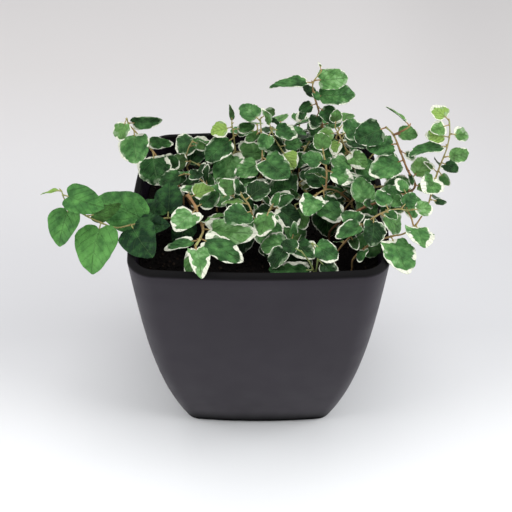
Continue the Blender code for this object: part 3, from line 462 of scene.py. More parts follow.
def placed_shoots():
    """The shoots that are set out one by one."""
    return [
        shoot("stem_left_runner",
              [(-34, -8), (-34, -8, 113), (-43, -17, 123), (-54, -26, 127.5), (-63, -31, 128.8),
               (-70, -31, 127.5), (-79, -29, 130), (-85, -28, 133), (-91, -27, 137), (-94, -26, 141),
               (-95, -25, 145)],
              [(3.1, 152, 26, -22, 0, 0.72), (3.9, -56, 21.5, -25, 0, 0.8), (6.8, -8, 14, 0, 70, 0.7),
               (5.75, -100, 21, 0, 0, 0.95), (8.15, -104, 16.5, 0, 0, 0.9), (9.5, -20, 17.5, 0, 0, 0.78),
               (10.0, 178, 8, 0, 45, 0.6), (2.2, 80, 17, 0, 0, 0.85), (2.6, 118, 14, 10, 0, 0.85),
               (1.3, -100, 14, 20, 0, 0.85), (3.55, -12, 14, -30, 0, 0.7)], LEFT),
        shoot("stem_top_left",
              [(-40, 16), (-40, 16, 115), (-48, 19, 127), (-55, 21, 138), (-61, 21, 147),
               (-66, 20, 155), (-67, 20, 159)],
              [(5.9, -108, 9, 0, 0, 0.95), (4.5, -84, 14.5, 0, 0, 1.05), (5.2, -6, 14, -5, 50, 0.45),
               (3.7, -14, 12, 0, 50, 0.5), (3.0, -84, 14, 15, 0, 1.2), (2.4, 215, 8, 0, 60, 0.6),
               (2.6, -25, 9, 0, 20, 0.9)], LEFT),
        shoot("stem_back_left",
              [(-35, 30), (-35, 30, 114), (-39, 32, 122), (-38, 34, 130), (-35, 36, 136)],
              [(2.4, 95, 14, 0, 20, 0.75), (2.2, 178, 12.5, 0, 20, 0.8), (1.9, 55, 11.5, 0, 0, 0.85),
               (1.5, 200, 10, 0, 0, 0.9), (3.9, -30, 8, 0, 55, 0.6), (3.4, 20, 10, 10, 0, 0.9)], LEFT),
        shoot("stem_back_middle",
              [(-12, 24), (-12, 24, 115), (-14, 28, 124), (-12.5, 30, 132), (-13, 32, 140),
               (-14, 34, 147)],
              [(4.0, 222, 15.5, 0, 0, 0.8), (4.75, 192, 8.5, 0, 0, 1.0), (3.2, -108, 18.5, 0, 0, 0.72),
               (3.0, 3, 12.5, 0, 0, 0.95), (2.5, -8, 12.5, 0, 0, 0.95), (2.1, -55, 14, 0, 0, 0.9),
               (4.6, 20, 9, 0, 50, 0.6), (4.1, 0, 9, 0, 55, 0.6), (1.7, 205, 12, 0, 0, 0.85)]),
        shoot("stem_centre_back",
              [(31, 8), (31, 8, 113), (23, 14, 120), (17.5, 19, 126), (14.5, 22, 132),
               (12.5, 25, 136), (9, 28, 141), (6.5, 31, 146)],
              [(7.0, -14, 11, 0, 0, 0.75), (6.8, 215, 8.5, 0, 0, 0.9), (5.1, -62, 10, 0, 0, 1.0),
               (5.4, 0, 9, 0, 20, 0.8), (4.0, 14, 12, 0, 45, 0.65), (3.3, -106, 17.5, 0, 0, 0.8),
               (2.6, 170, 13, 0, 0, 0.85), (2.3, 60, 12, 0, 0, 0.85)]),
        shoot("stem_centre",
              [(2, 10), (2, 10, 115), (1, 14, 124), (2, 19, 132), (2, 25, 138), (1.5, 31, 144),
               (1, 36, 149)],
              [(5.8, 145, 11.5, 0, 0, 0.85), (6.0, 40, 7, 0, 0, 0.8), (3.4, -50, 17.5, 0, 0, 0.8),
               (4.4, 0, 10, 0, 0, 0.9), (2.4, -120, 14, 0, 0, 0.85), (3.0, 200, 12, 10, 0, 0.85)]),
        shoot("stem_tall",
              [(31, 30), (31, 30, 115), (34, 34, 127), (35, 36, 135), (34, 38, 144),
               (31.5, 40, 153), (29, 41, 161), (28.5, 42, 167), (32.5, 43, 173)],
              [(7.0, 180, 18.5, 0, 22, 0.42), (7.2, -4, 14.5, 0, 15, 0.72), (5.8, 6, 18, 0, 10, 0.62),
               (5.3, 200, 7, 0, 0, 0.9), (5.1, -38, 10.5, 0, 0, 0.8), (4.8, -112, 7.5, 0, 0, 0.85),
               (4.3, 180, 13, 0, 50, 0.6), (3.9, 186, 8, 0, 50, 0.6), (4.0, 2, 8, 0, 20, 0.8),
               (3.2, 120, 10, 0, 0, 0.9), (2.8, -20, 12.5, 0, 0, 0.85), (8.0, 100, 3.5, 0, 30, 0.6)]),
        shoot("stem_front_left_arch",
              [(-34, 0), (-34, 0, 115), (-36, -6, 127), (-35, -12, 133), (-31, -21, 132.5),
               (-29.5, -27, 130), (-27, -33, 128), (-28, -40, 128), (-30, -47, 128.5)],
              [(4.2, -122, 14, 0, 0, 0.88), (7.1, -26, 19, 4, 0, 0.62), (6.0, -12, 22, -8, 38, 0.5),
               (8.0, -80, 18, -4, 0, 0.5), (7.75, -108, 12.5, 6, 0, 0.5), (7.3, 218, 13.5, -12, 0, 0.42),
               (5.7, 22, 17, 0, -35, 0.6), (3.2, 30, 10.5, 0, 0, 1.0), (3.0, 75, 8, 0, 0, 0.9),
               (4.0, 36, 12, 0, 50, 0.6), (2.4, 160, 13, 0, 0, 0.85)], FRONT_LOW),
        shoot("stem_front_sprout",
              [(27, -53), (27, -53, 113), (25, -52, 121), (20, -50, 128)],
              [(1.6, 180, 17, -16, -20, 0.5), (1.25, 152, 18, 0, 0, 0.85), (2.9, 150, 8, 0, 0, 0.85)]),
        shoot("stem_front_sprout",
              [(27, -53, 114), (28, -51, 121), (28, -50, 126), (25, -48, 131)],
              [(3.0, -30, 11, 0, 0, 0.9), (1.4, -42, 10, 15, 0, 0.8)],
              FRONT, 1.1),
        shoot("stem_right_front",
              [(38, -36), (38, -36, 114), (44, -34, 123), (52, -31, 130), (60, -28, 134),
               (68, -26, 135), (74, -25, 133)],
              [(3.0, 206, 13, 0, 20, 0.65), (2.8, 145, 11.5, 0, 0, 0.85), (3.5, -100, 12.5, 0, 0, 0.85),
               (3.9, -15, 13.5, 0, 0, 0.85), (4.4, 110, 9, 0, 0, 0.85), (5.2, 60, 8, 0, 0, 0.85),
               (6.0, 10, 9, 0, 0, 0.8)], RIGHT),
        shoot("stem_far_right",
              [(46, -40), (46, -40, 114), (55, -39, 124), (64, -37, 126.5), (70, -35, 126.5),
               (76, -30, 127), (80, -25, 129.5), (83.5, -20, 132.5), (86, -13, 135), (89, -5, 140),
               (91.5, 0, 144), (94.5, 5, 149.5), (96, 9, 156), (95.5, 12, 162)],
              [(3.0, -78, 19, -14, 0, 0.8), (5.2, -92, 15, -14, 0, 0.88), (9.0, -128, 12.5, 0, 0, 0.9),
               (7.6, -10, 6, 0, 55, 0.6), (9.5, -70, 6.5, 0, 45, 0.7), (10.5, 15, 12, 0, 30, 0.62),
               (11.2, 192, 17, 0, 40, 0.6), (11.8, 176, 9, 0, 0, 0.9), (12.0, -20, 7.5, 0, 0, 1.0),
               (13.0, 135, 8.5, 0, 0, 1.0), (12.7, 202, 7.5, 0, 0, 1.0), (1.3, 5, 12.5, -15, 0, 0.95)],
              RIGHT),
        shoot("stem_far_right",
              [(76, -30, 127), (74.5, -26, 131), (72.5, -22, 134), (73, -19, 138)],
              [(1.4, 150, 6, 0, 0, 0.8), (2.1, 25, 6.5, 0, 0, 0.8), (3.0, 115, 7.5, 0, 0, 0.8),
               (2.7, 185, 7, 0, 0, 0.85)], RIGHT, 5.0),
        shoot("stem_right_brown",
              [(36, -18), (36, -18, 115), (49, -17, 127), (62, -14, 131.5), (73, -10, 132),
               (79, -5, 134.5), (75, 0, 141), (71.5, 6, 148), (68, 10, 155), (64, 13, 158)],
              [(8.9, 203, 13.5, 8, 0, 0.95), (8.0, 8, 9.5, -10, 0, 0.8), (7.4, 178, 12.5, 0, 0, 0.8),
               (6.5, 205, 15.5, 0, 0, 0.82), (7.0, -25, 6, 0, 0, 0.8), (5.5, 78, 12.5, 0, 0, 0.75),
               (4.2, -75, 10, 0, 0, 0.85), (4.1, 190, 14, -8, 0, 0.65), (4.4, 125, 8, 0, 0, 0.85),
               (3.1, -85, 11.5, 0, 0, 0.85), (2.3, 95, 14, 0, 0, 0.85), (2.1, -80, 14, -8, 0, 0.9),
               (1.7, 168, 13, 0, 0, 0.85)], RIGHT),
        shoot("stem_right_brown",
              [(68, 10, 155), (72, 9, 158), (75.5, 9, 160.5)],
              [(2.0, 132, 12.5, 0, 50, 0.5)], RIGHT, 8.0),
        shoot("stem_right_middle",
              [(43, -4), (43, -4, 115), (49, -2, 124), (57, 0, 129), (66, 1, 130), (73, -1, 128)],
              [(3.3, 172, 15, 0, 25, 0.65), (3.8, 12, 9, 0, 0, 0.85), (3.5, -22, 14, 0, 20, 0.65),
               (4.6, -40, 9, 0, 0, 0.85), (2.6, -85, 13, 0, 0, 0.85)], RIGHT),
        shoot("stem_centre_right",
              [(50, 14), (50, 14, 114), (52, 19, 123), (49.5, 22, 129.5), (47, 24, 135),
               (45, 26, 139), (42.5, 28.5, 143.5), (40, 31, 147)],
              [(6.0, 22, 11.5, 0, 0, 1.0), (6.9, 85, 6.5, 0, 0, 0.9), (6.3, 190, 8.5, 0, 0, 0.85),
               (5.7, 232, 7, 0, 0, 0.85), (4.4, -42, 10.5, 0, 0, 0.9), (4.1, 185, 10.5, 0, 35, 0.7),
               (3.4, 205, 11.5, 0, 0, 0.85), (3.0, -18, 12.5, 0, 0, 0.85)]),
        shoot("stem_centre_knot",
              [(50, 4), (50, 4, 113), (46, 1, 122), (40, -2, 129), (34, -5, 132),
               (27, -10, 131), (18, -15, 129.5)],
              [(4.2, -80, 20, 14, 0, 0.7), (4.7, -112, 16, -12, 0, 0.66), (4.0, 160, 13.5, 0, 0, 0.9),
               (6.0, -68, 10, 0, 0, 0.8), (2.6, 40, 12.5, 0, 0, 0.85)]),
        shoot("stem_centre_knot",
              [(34, -5, 132), (34.5, -2, 137), (34, 2, 142), (33, 6, 146)],
              [(2.0, 152, 10, 0, 0, 0.85), (3.0, 98, 10, 0, 0, 0.85), (1.6, -20, 11, 0, 0, 0.85)],
              FRONT, 4.0),
        shoot("stem_front_middle",
              [(-4, -20), (-4, -20, 115), (-4, -24, 124), (-3, -25, 130), (-5, -22, 135),
               (-9, -18, 138)],
              [(3.0, -50, 15.5, 0, 0, 1.0), (2.5, -30, 17, 20, 0, 0.85), (4.0, 172, 10, 0, 45, 0.6),
               (3.4, 205, 15, 0, 0, 0.75), (5.0, 140, 10, 0, 0, 0.85), (2.0, 230, 14, 20, 0, 0.85),
               (4.4, 40, 11.5, 0, 0, 0.85)]),
    ]


def crown_shoots():
    """The shoots that fill the crown and its back, each leaning outward from its root."""
    draw = random.Random(CROWN_SEED)
    shoots = []
    for number, (x, y, bearing, rise) in enumerate(CROWN_SHOOTS):
        reach = draw.uniform(*CROWN_REACH)
        away = Vector((math.cos(math.radians(bearing)), math.sin(math.radians(bearing)), 0))
        root = Vector((x, y, 0))
        path = [tuple(root + away * (reach * out) + Vector((0, 0, SOIL_LEVEL + SOIL_DOME + rise * up)))
                for out, up in CROWN_CURVE]
        path[0] = (x, y)
        leaves = []
        side = draw.choice((-1, 1))
        for leaf in range(CROWN_LEAVES):
            place = CROWN_FIRST_LEAF + CROWN_LEAF_SPAN * leaf / (CROWN_LEAVES - 1)
            last = leaf == CROWN_LEAVES - 1
            turn = draw.uniform(*CROWN_TIP_TURN) if last else side * draw.uniform(*CROWN_SIDE_TURN)
            length = draw.uniform(*CROWN_LEAF) * (1 - CROWN_LEAF_SHRINK * leaf / CROWN_LEAVES)
            leaves.append((place, bearing + turn, length, draw.uniform(*CROWN_DROOP),
                           draw.uniform(*CROWN_ROLL), draw.uniform(*CROWN_WIDTH)))
            side = -side
        facing = tuple(Vector(CROWN_FACE) + away * CROWN_LEAN)
        shoots.append(shoot(f"stem_crown_{number + 1:02d}", path, leaves, facing))
    return shoots


def spline_point(a, b, c, d, t):
    """The point at t of the way from b to c, on a smooth curve through four points."""
    return 0.5 * (2 * b + (c - a) * t + (2 * a - 5 * b + 4 * c - d) * t * t
                  + (3 * b - a - 3 * c + d) * t ** 3)


def curve_samples(path):
    """A smooth curve through the points of a path, with SAMPLES steps from each point to the next.

    From a root in the soil it goes straight up to the path's second point.
    """
    root_depth = SOIL_LEVEL - HOLE_DEPTH + GAP
    rooted = len(path[0]) == 2
    points = [Vector((*path[0], root_depth)) if rooted else Vector(path[0])]
    points += [Vector(p) for p in path[1:]]
    ends = [points[0] * 2 - points[1]] + points + [points[-1] * 2 - points[-2]]
    samples = [spline_point(*four, step / SAMPLES) for four in zip(ends, ends[1:], ends[2:], ends[3:])
               for step in range(SAMPLES)]
    curve = np.array([tuple(p) for p in samples + [points[-1]]])
    if rooted:
        curve[:SAMPLES + 1, :2] = path[0]
    return curve


def bend_clear(shoots):
    """Bends the curves of different nodes apart wherever they would cross; roots stay where they are."""
    curves = [curve_samples(s["path"]) for s in shoots]
    starts = np.cumsum([0] + [len(c) for c in curves])
    points = np.vstack(curves)
    names = sorted({s["node"] for s in shoots})
    owner = np.concatenate([np.full(len(c), names.index(s["node"])) for s, c in zip(shoots, curves)])
    first = {}
    for index, s in enumerate(shoots):
        first.setdefault(s["node"], index)
    loose = np.ones(len(points))
    for s, start in zip(shoots, starts):
        loose[start:start + SAMPLES + 1] = 0 if s["joins"] is None else 1
    apart = owner[:, None] != owner[None, :]
    for _ in range(STEM_ROUNDS):
        away = points[:, None, :] - points[None, :, :]
        reach = np.sqrt((away ** 2).sum(axis=2)) + 1e-9
        push = np.where(apart & (reach < STEM_SPACE), (STEM_SPACE - reach) / reach / 2, 0.0)
        move = (away * push[:, :, None]).sum(axis=1) * loose[:, None]
        for start, end in zip(starts, starts[1:]):
            part = move[start:end]
            part[1:-1] = 0.5 * part[1:-1] + 0.25 * (part[2:] + part[:-2])
        points = points + move * loose[:, None]
        for index, s in enumerate(shoots):
            if s["joins"] is not None:
                points[starts[index]] = points[starts[first[s["node"]]] + round(s["joins"] * SAMPLES)]
    return [points[a:b] for a, b in zip(starts, starts[1:])]


def point_on(curve, place):
    """The point at a place along a curve, in points of its path."""
    at = min(place * SAMPLES, len(curve) - 1)
    low = min(int(at), len(curve) - 2)
    return Vector(curve[low]).lerp(Vector(curve[low + 1]), at - low)


def leaf_axes(facing, clock, droop, roll):
    """The blade's own axes: along its midrib, across it, and out of its upper face."""
    face = Vector(facing).normalized()
    right = (Vector((1, 0, 0)) - face * face.x).normalized()
    up = face.cross(right)
    flat = right * math.cos(math.radians(clock)) + up * math.sin(math.radians(clock))
    along = flat * math.cos(math.radians(droop)) - face * math.sin(math.radians(droop))
    out = (face - along * face.dot(along)).normalized()
    out = Matrix.Rotation(math.radians(roll), 3, along) @ out
    return along, out.cross(along), out


def found_leaves(shoots, curves):
    """Each leaf as its solid stands: (index of its shoot, place, root, axes, length, width).

    A leaf's solid took the first of its turns and lifts that found room, so the one whose tip and
    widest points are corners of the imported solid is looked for. A leaf that found no room is left out.
    """
    trees = {}
    for name, solid in frame["nodes"].items():
        tree = KDTree(len(solid.data.vertices))
        for index, vertex in enumerate(solid.data.vertices):
            tree.insert(vertex.co / MM, index)
        tree.balance()
        trees[name] = tree
    leaves = []
    for index, (s, curve) in enumerate(zip(shoots, curves)):
        for place, clock, length, droop, roll, width in s["leaves"]:
            root = point_on(curve, place)
            for turn, lift in LEAF_TRIES:
                axes = leaf_axes(s["facing"], clock + turn, droop + lift, roll)
                marks = blade_marks(root, axes, length, width)
                if all(trees[s["node"]].find(mark)[2] < FOUND_WITHIN for mark in marks):
                    leaves.append((index, place, root, axes, length, width))
                    break
    return leaves


def blade_marks(root, axes, length, width):
    """The upper corners of a solid blade at its tip and at its widest."""
    along, across, out = axes
    half = length * width / 2
    tip = root + along * (STALK_LENGTH + length) + out * (BLADE_HALF_THICKNESS - LEAF_ARCH * length)
    middle = root + along * (STALK_LENGTH + WIDEST_AT * length) + out * BLADE_HALF_THICKNESS
    rise = LEAF_FOLD * half - LEAF_ARCH * length * WIDEST_AT ** 2
    left = middle + across * half + out * (rise - LEAF_WAVE * length)
    right = middle - across * half + out * (rise + LEAF_WAVE * length)
    return tip, left, right


def blade_samples(root, axes, length, width):
    """Points over a blade, for testing the room round it."""
    along, across, out = (np.array(axis) for axis in axes)
    points = []
    for u, v in BLADE_SAMPLES:
        rise = LEAF_FOLD * abs(v) * width * length - LEAF_ARCH * length * u * u
        points.append(np.array(root) + along * (STALK_LENGTH + u * length) + across * (v * width * length)
                      + out * rise)
    return np.array(points)


def in_pot_or_soil(points):
    """Whether any of the points is in the soil or within the pot's wall."""
    for x, y, z in points:
        if z < SOIL_LEVEL + SOIL_DOME + SMALL_OVER_SOIL:
            return True
        if z < POT_HEIGHT + SMALL_OVER_LIP and max(abs(x), abs(y)) > POT_TOP_HALF - SMALL_FROM_WALL:
            return True
    return False


def has_room(points, root, taken, stems):
    """Whether a small blade keeps clear of the blades and stems round it, and of pot and soil."""
    others = stems[np.linalg.norm(stems - np.array(root), axis=1) > OWN_STEM_REACH]
    blades_off = np.linalg.norm(points[:, None] - taken[None], axis=2).min()
    stems_off = np.linalg.norm(points[:, None] - others[None], axis=2).min()
    return blades_off > SMALL_ROOM and stems_off > SMALL_STEM_ROOM and not in_pot_or_soil(points)


def small_leaves(shoots, curves, leaves):
    """Small leaves by a seeded rule along the cream-edged stems, where found_leaves left room."""
    draw = random.Random(SMALL_SEED)
    taken = np.vstack([blade_samples(*leaf[2:]) for leaf in leaves])
    stems = np.vstack(curves)
    small = []
    for index, (s, curve) in enumerate(zip(shoots, curves)):
        if s["node"] in NO_SMALL_LEAVES:
            continue
        highest = SMALL_UP_TO.get(s["node"], SMALL_BELOW)
        places = [leaf[1] for leaf in leaves if leaf[0] == index]
        place = SMALL_FROM if s["joins"] is None else SMALL_FROM_FORK
        while place < len(s["path"]) - SMALL_TO_TIP:
            place += SMALL_STEP
            root = point_on(curve, place)
            if root.z > highest or any(abs(place - at) < SMALL_APART for at in places):
                continue
            for _ in range(SMALL_TRIES):
                length = draw.uniform(*SMALL_LEAF)
                width = draw.uniform(*SMALL_WIDTH)
                axes = leaf_axes(s["facing"], draw.uniform(0, 360), draw.uniform(-SMALL_TILT, SMALL_TILT),
                                 draw.uniform(-SMALL_TILT, SMALL_TILT))
                points = blade_samples(root, axes, length, width)
                if has_room(points, root, taken, stems):
                    small.append((index, place, root, axes, length, width))
                    taken = np.vstack([taken, points])
                    break
    return small


def plug(tree, socket, value):
    """Gives a socket a value, or another node's output."""
    if isinstance(value, bpy.types.NodeSocket):
        tree.links.new(value, socket)
    else:
        socket.default_value = value


def add(tree, kind, inputs=(), **settings):
    """A node; inputs gives its sockets, by name or place, a value or another node's output."""
    made = tree.nodes.new(kind)
    for name, value in settings.items():
        setattr(made, name, value)
    for key, value in dict(inputs).items():
        plug(tree, made.inputs[key], value)
    return made


def ramp(tree, value, stops):
    """A colour ramp through (place, colour) stops."""
    made = add(tree, "ShaderNodeValToRGB", {"Fac": value})
    elements = made.color_ramp.elements
    while len(elements) < len(stops):
        elements.new(1)
    for element, (place, colour) in zip(elements, stops):
        element.position = place
        element.color = (*colour, 1)
    return made.outputs["Color"]


def mixed(tree, amount, first, second):
    """One colour over another."""
    made = add(tree, "ShaderNodeMix", {0: amount}, data_type="RGBA")
    for place, colour in ((6, first), (7, second)):
        plug(tree, made.inputs[place], (*colour, 1) if isinstance(colour, tuple) else colour)
    return made.outputs[2]


def sums(tree, operation, *values):
    """A sum, product or other reckoning of values."""
    return add(tree, "ShaderNodeMath", enumerate(values), operation=operation).outputs["Value"]


def plus(tree, first, second):
    """The sum of two values."""
    return sums(tree, "ADD", first, second)


def less(tree, first, second):
    """The first value less the second."""
    return sums(tree, "SUBTRACT", first, second)


def times(tree, first, second):
    """The product of two values."""
    return sums(tree, "MULTIPLY", first, second)


def smooth_step(tree, value, low, high, start=0.0, end=1.0):
    """start below low, end above high, and a soft change between."""
    return add(tree, "ShaderNodeMapRange", {"Value": value, "From Min": low, "From Max": high,
                                            "To Min": start, "To Max": end},
               interpolation_type="SMOOTHSTEP").outputs["Result"]


def own_place(tree):
    """The place on the object."""
    return add(tree, "ShaderNodeTexCoord").outputs["Object"]


def parts_of(tree, vector):
    """The X, Y and Z of a vector."""
    return add(tree, "ShaderNodeSeparateXYZ", {0: vector}).outputs


def swells(tree, scale, detail, strength, roughness=0.5):
    """Noise over the object, above and below 0, at that many swells a metre."""
    made = add(tree, "ShaderNodeTexNoise", {"Vector": own_place(tree), "Scale": scale, "Detail": detail,
                                            "Roughness": roughness})
    return times(tree, less(tree, made.outputs["Fac"], 0.5), strength)


def attribute(tree, name, output="Fac"):
    """An attribute of the mesh."""
    return add(tree, "ShaderNodeAttribute", attribute_name=name).outputs[output]


def surface(name):
    """A new material and its tree."""
    material = bpy.data.materials.new(name)
    material.use_nodes = True
    return material, material.node_tree


def dress(material, colour, roughness, gloss, relief, depth):
    """Gives a material its colour, roughness and gloss, and fine relief of a depth in millimetres."""
    tree = material.node_tree
    shader = tree.nodes["Principled BSDF"]
    bump = add(tree, "ShaderNodeBump", {"Height": relief, "Distance": depth * MM, "Strength": 1.0})
    for name, value in (("Base Color", colour), ("Roughness", roughness), ("Specular IOR Level", gloss),
                        ("Normal", bump.outputs["Normal"])):
        plug(tree, shader.inputs[name], value)
    return material


def veins(tree, blade):
    """1 on a blade's midrib and its paired side veins, 0 between them."""
    parts = parts_of(tree, blade)
    side = sums(tree, "ABSOLUTE", parts["Y"])
    midrib = smooth_step(tree, side, *MIDRIB, 1.0, 0.0)
    bend = times(tree, times(tree, side, side), VEIN_BEND)
    start = less(tree, less(tree, parts["X"], times(tree, side, VEIN_SLANT)), bend)
    step = sums(tree, "FRACT", times(tree, start, VEIN_PAIRS))
    near = sums(tree, "ABSOLUTE", less(tree, step, 0.5))
    return sums(tree, "MAXIMUM", midrib, smooth_step(tree, near, 0.0, VEIN_HALF, SIDE_VEIN_SHARE, 0.0))


def with_cream(tree, blade, colour):
    """A leaf's green with its uneven cream margin, and grey green here and there inside that."""
    margin = times(tree, parts_of(tree, blade)["Z"], attribute(tree, "span"))
    broad = sums(tree, "MAXIMUM", plus(tree, swells(tree, *CREAM_SWELLS), CREAM_MIDDLE), CREAM_LEAST)
    share = times(tree, attribute(tree, "cream"), broad)
    reach = plus(tree, times(tree, share, CREAM_WIDTH), swells(tree, *CREAM_WOBBLE))
    outside = less(tree, reach, margin)
    inward = plus(tree, times(tree, outside, GREY_PULL), swells(tree, *GREY_SWELLS))
    colour = mixed(tree, smooth_step(tree, inward, *GREY_EDGE, 0.0, GREY_SHARE), colour, GREY_GREEN)
    return mixed(tree, smooth_step(tree, outside, *CREAM_EDGE), colour, CREAM)


def make_leaf_material(name, edged):
    """Leaf: mottled green with a soft sheen, fine veins, and an uneven cream margin if edged."""
    material, tree = surface(name)
    blade = attribute(tree, "blade", "Vector")
    mottle = plus(tree, swells(tree, *(EDGED_MOTTLE if edged else PLAIN_MOTTLE)), attribute(tree, "tone"))
    colour = ramp(tree, mottle, EDGED_GREENS if edged else PLAIN_GREENS)
    colour = mixed(tree, attribute(tree, "young"), colour, LIME)
    lines = veins(tree, blade)
    colour = mixed(tree, times(tree, lines, EDGED_VEINS if edged else PLAIN_VEINS), colour, VEIN_GREEN)
    if edged:
        colour = with_cream(tree, blade, colour)
    colour = mixed(tree, times(tree, attribute(tree, "under"), UNDER_SHARE), colour, UNDER_GREEN)
    rough = plus(tree, swells(tree, *LEAF_SATIN), LEAF_ROUGHNESS)
    relief = plus(tree, swells(tree, *LEAF_GRAIN), times(tree, lines, VEIN_SINK))
    relief = plus(tree, relief, swells(tree, *LEAF_PUCKERS))
    return dress(material, colour, rough, EDGED_GLOSS if edged else PLAIN_GLOSS, relief, LEAF_RELIEF)


def make_stem_material():
    """Stem: from lime at young tips through tan to brown bark, with fine streaks."""
    material, tree = surface("stem bark")
    bark = plus(tree, attribute(tree, "bark"), swells(tree, *BARK_STREAKS))
    return dress(material, ramp(tree, bark, BARKS), BARK_ROUGHNESS, BARK_GLOSS,
                 swells(tree, *BARK_GRAIN), BARK_RELIEF)


def make_pot_material():
    """Charcoal moulded plastic: satin, finely grained and faintly rubbed, with painted shade on lip and
    foot; the lip is rougher, and both are less glossy.
    """
    material, tree = surface("satin charcoal plastic")
    height = parts_of(tree, own_place(tree))["Z"]
    lip = [level * MM for level in LIP_BAND]
    foot = [level * MM for level in FOOT_BAND]
    on_lip = smooth_step(tree, height, *lip)
    grey = ramp(tree, plus(tree, swells(tree, *POT_PATCHES), 0.5), POT_GREYS)
    # Painted shade: the foot darkens toward the floor, as in the pot's contact shadow.
    grey = mixed(tree, smooth_step(tree, height, *foot), FOOT_SHADE_GREY, grey)
    rough = plus(tree, swells(tree, *POT_RUBBED), POT_ROUGHNESS)
    rough = plus(tree, rough, times(tree, on_lip, LIP_ROUGHER))
    gloss = sums(tree, "MINIMUM", smooth_step(tree, height, *lip, POT_GLOSS, LIP_GLOSS),
                 smooth_step(tree, height, *foot, FOOT_GLOSS, POT_GLOSS))
    # Painted shade: the lip turns near-black, as in the shadow of the leaves over it.
    return dress(material, mixed(tree, on_lip, grey, LIP_SHADE_GREY), rough, gloss,
                 swells(tree, *POT_GRAIN), POT_RELIEF)


def make_soil_material():
    """Moist potting mix: near-black brown crumbs with a few paler bits."""
    material, tree = surface("moist potting mix")
    crumb = plus(tree, swells(tree, *SOIL_BITS), attribute(tree, "crumb"))
    return dress(material, ramp(tree, crumb, SOIL_BROWNS), SOIL_DULLNESS, SOIL_GLOSS,
                 swells(tree, *SOIL_GRAIN), SOIL_RELIEF)


def make_floor_material():
    """Pale matt tabletop, with painted light that dims toward the back and painted shade toward the right.
    """
    material, tree = surface("pale tabletop")
    parts = parts_of(tree, own_place(tree))
    # Painted light: the tabletop is bright near the front and dims toward the back.
    back = plus(tree, parts["Y"], swells(tree, *FLOOR_SWELLS))
    share = add(tree, "ShaderNodeMapRange", {"Value": back, "From Min": FLOOR_REACH[0],
                                             "From Max": FLOOR_REACH[1]}).outputs["Result"]
    # Painted shade: the tabletop darkens a little toward the right.
    side = smooth_step(tree, parts["X"], *FLOOR_SHADE_SIDE, 0.0, FLOOR_SHADE_SHARE)
    return dress(material, mixed(tree, side, ramp(tree, share, FLOOR_LIGHT_TONES), BLACK), FLOOR_ROUGHNESS,
                 FLOOR_GLOSS, swells(tree, *FLOOR_GRAIN), FLOOR_RELIEF)


def new_object(name, data):
    """An object of a mesh, light or camera, in the scene."""
    made = bpy.data.objects.new(name, data)
    bpy.context.scene.collection.objects.link(made)
    return made


def mesh_of(name, shape):
    """A mesh of a finished bmesh."""
    mesh = bpy.data.meshes.new(name)
    shape.to_mesh(mesh)
    shape.free()
    return mesh


def plain_mesh(made):
    """An object's mesh with its modifiers applied."""
    graph = bpy.context.evaluated_depsgraph_get()
    return bpy.data.meshes.new_from_object(made.evaluated_get(graph))


def finish_mesh(mesh, sharp_from):
    """Turns the faces outward and shades them smooth, with edges kept where they turn sharply."""
    shape = bmesh.new()
    shape.from_mesh(mesh)
    bmesh.ops.recalc_face_normals(shape, faces=shape.faces)
    for face in shape.faces:
        face.smooth = True
    for edge in shape.edges:
        edge.smooth = edge.calc_face_angle(0) < math.radians(sharp_from)
    shape.to_mesh(mesh)
    shape.free()


def fill_attribute(mesh, name, kind, values):
    """A value of that kind on each of a mesh's points."""
    held = mesh.attributes.new(name, kind, "POINT")
    held.data.foreach_set("vector" if kind == "FLOAT_VECTOR" else "value", np.ravel(values))


def smooth_outline(controls, steps):
    """Points of a smooth closed curve through its controls."""
    count = len(controls)
    points = []
    for i in range(count):
        four = [Vector(controls[(i + k) % count]) for k in (-1, 0, 1, 2)]
        points += [spline_point(*four, step / steps) for step in range(steps)]
    return points


def blade_height(u, v, inward):
    """Height of a unit blade's middle surface: its fold, arch, the margin's wave and soft puckers."""
    fold = LEAF_FOLD * FOLD_KEPT * (math.hypot(v, CREASE) - CREASE)
    arch = LEAF_ARCH * max(0.0, u) ** 2
    fade = min(1.0, max(0.0, (1 - u) / WAVE_FADE))
    side = 1 if v > 0 else -1
    turn = 2 * math.pi * (u - WIDEST_AT) / WAVE_LENGTH
    wave = -side * LEAF_WAVE * math.cos(turn) * inward ** 2 * fade
    between_veins = math.sin(2 * math.pi * (VEIN_PAIRS * (u - VEIN_SLANT * abs(v))))
    return fold - arch + wave + PUCKER_HEIGHT * between_veins * min(1.0, PUCKER_FADE * abs(v))


def ruffled_rim(outline, centre, ruffle, seed):
    """An outline's points pushed out and in by swells and scallops, each with its swell."""
    rim = []
    for i, point in enumerate(outline):
        angle = 2 * math.pi * i / len(outline)
        swell = noise.noise(Vector((math.cos(angle) * MARGIN_SWELLS, math.sin(angle) * MARGIN_SWELLS,
                                    seed * BLADES_APART)))
        crimp = math.sin(angle * SCALLOPS + SCALLOP_DRIFT * swell)
        edge_on = min(1.0, RUFFLE_RISE * abs(point.y))
        out = 1 + ruffle * edge_on * (MARGIN_PUSH * swell + SCALLOP_DEPTH * crimp)
        rim.append((centre + (point - centre) * out, (swell + SCALLOP_LIFT * crimp) * edge_on))
    return rim


def blade_faces(around, rings):
    """Faces of a closed blade: an upper and a lower fan with rings round it, and the margin."""
    upper = []
    for i in range(around):
        j = (i + 1) % around
        upper.append((0, 1 + j, 1 + i))
        for ring in range(rings - 1):
            a = 1 + ring * around
            upper.append((a + i, a + j, a + around + j, a + around + i))
    count = 1 + rings * around
    last = count - around
    lower = [tuple(reversed([i + count for i in face])) for face in upper]
    margin = [(last + i, last + (i + 1) % around, count + last + (i + 1) % around, count + last + i)
              for i in range(around)]
    return upper + lower + margin


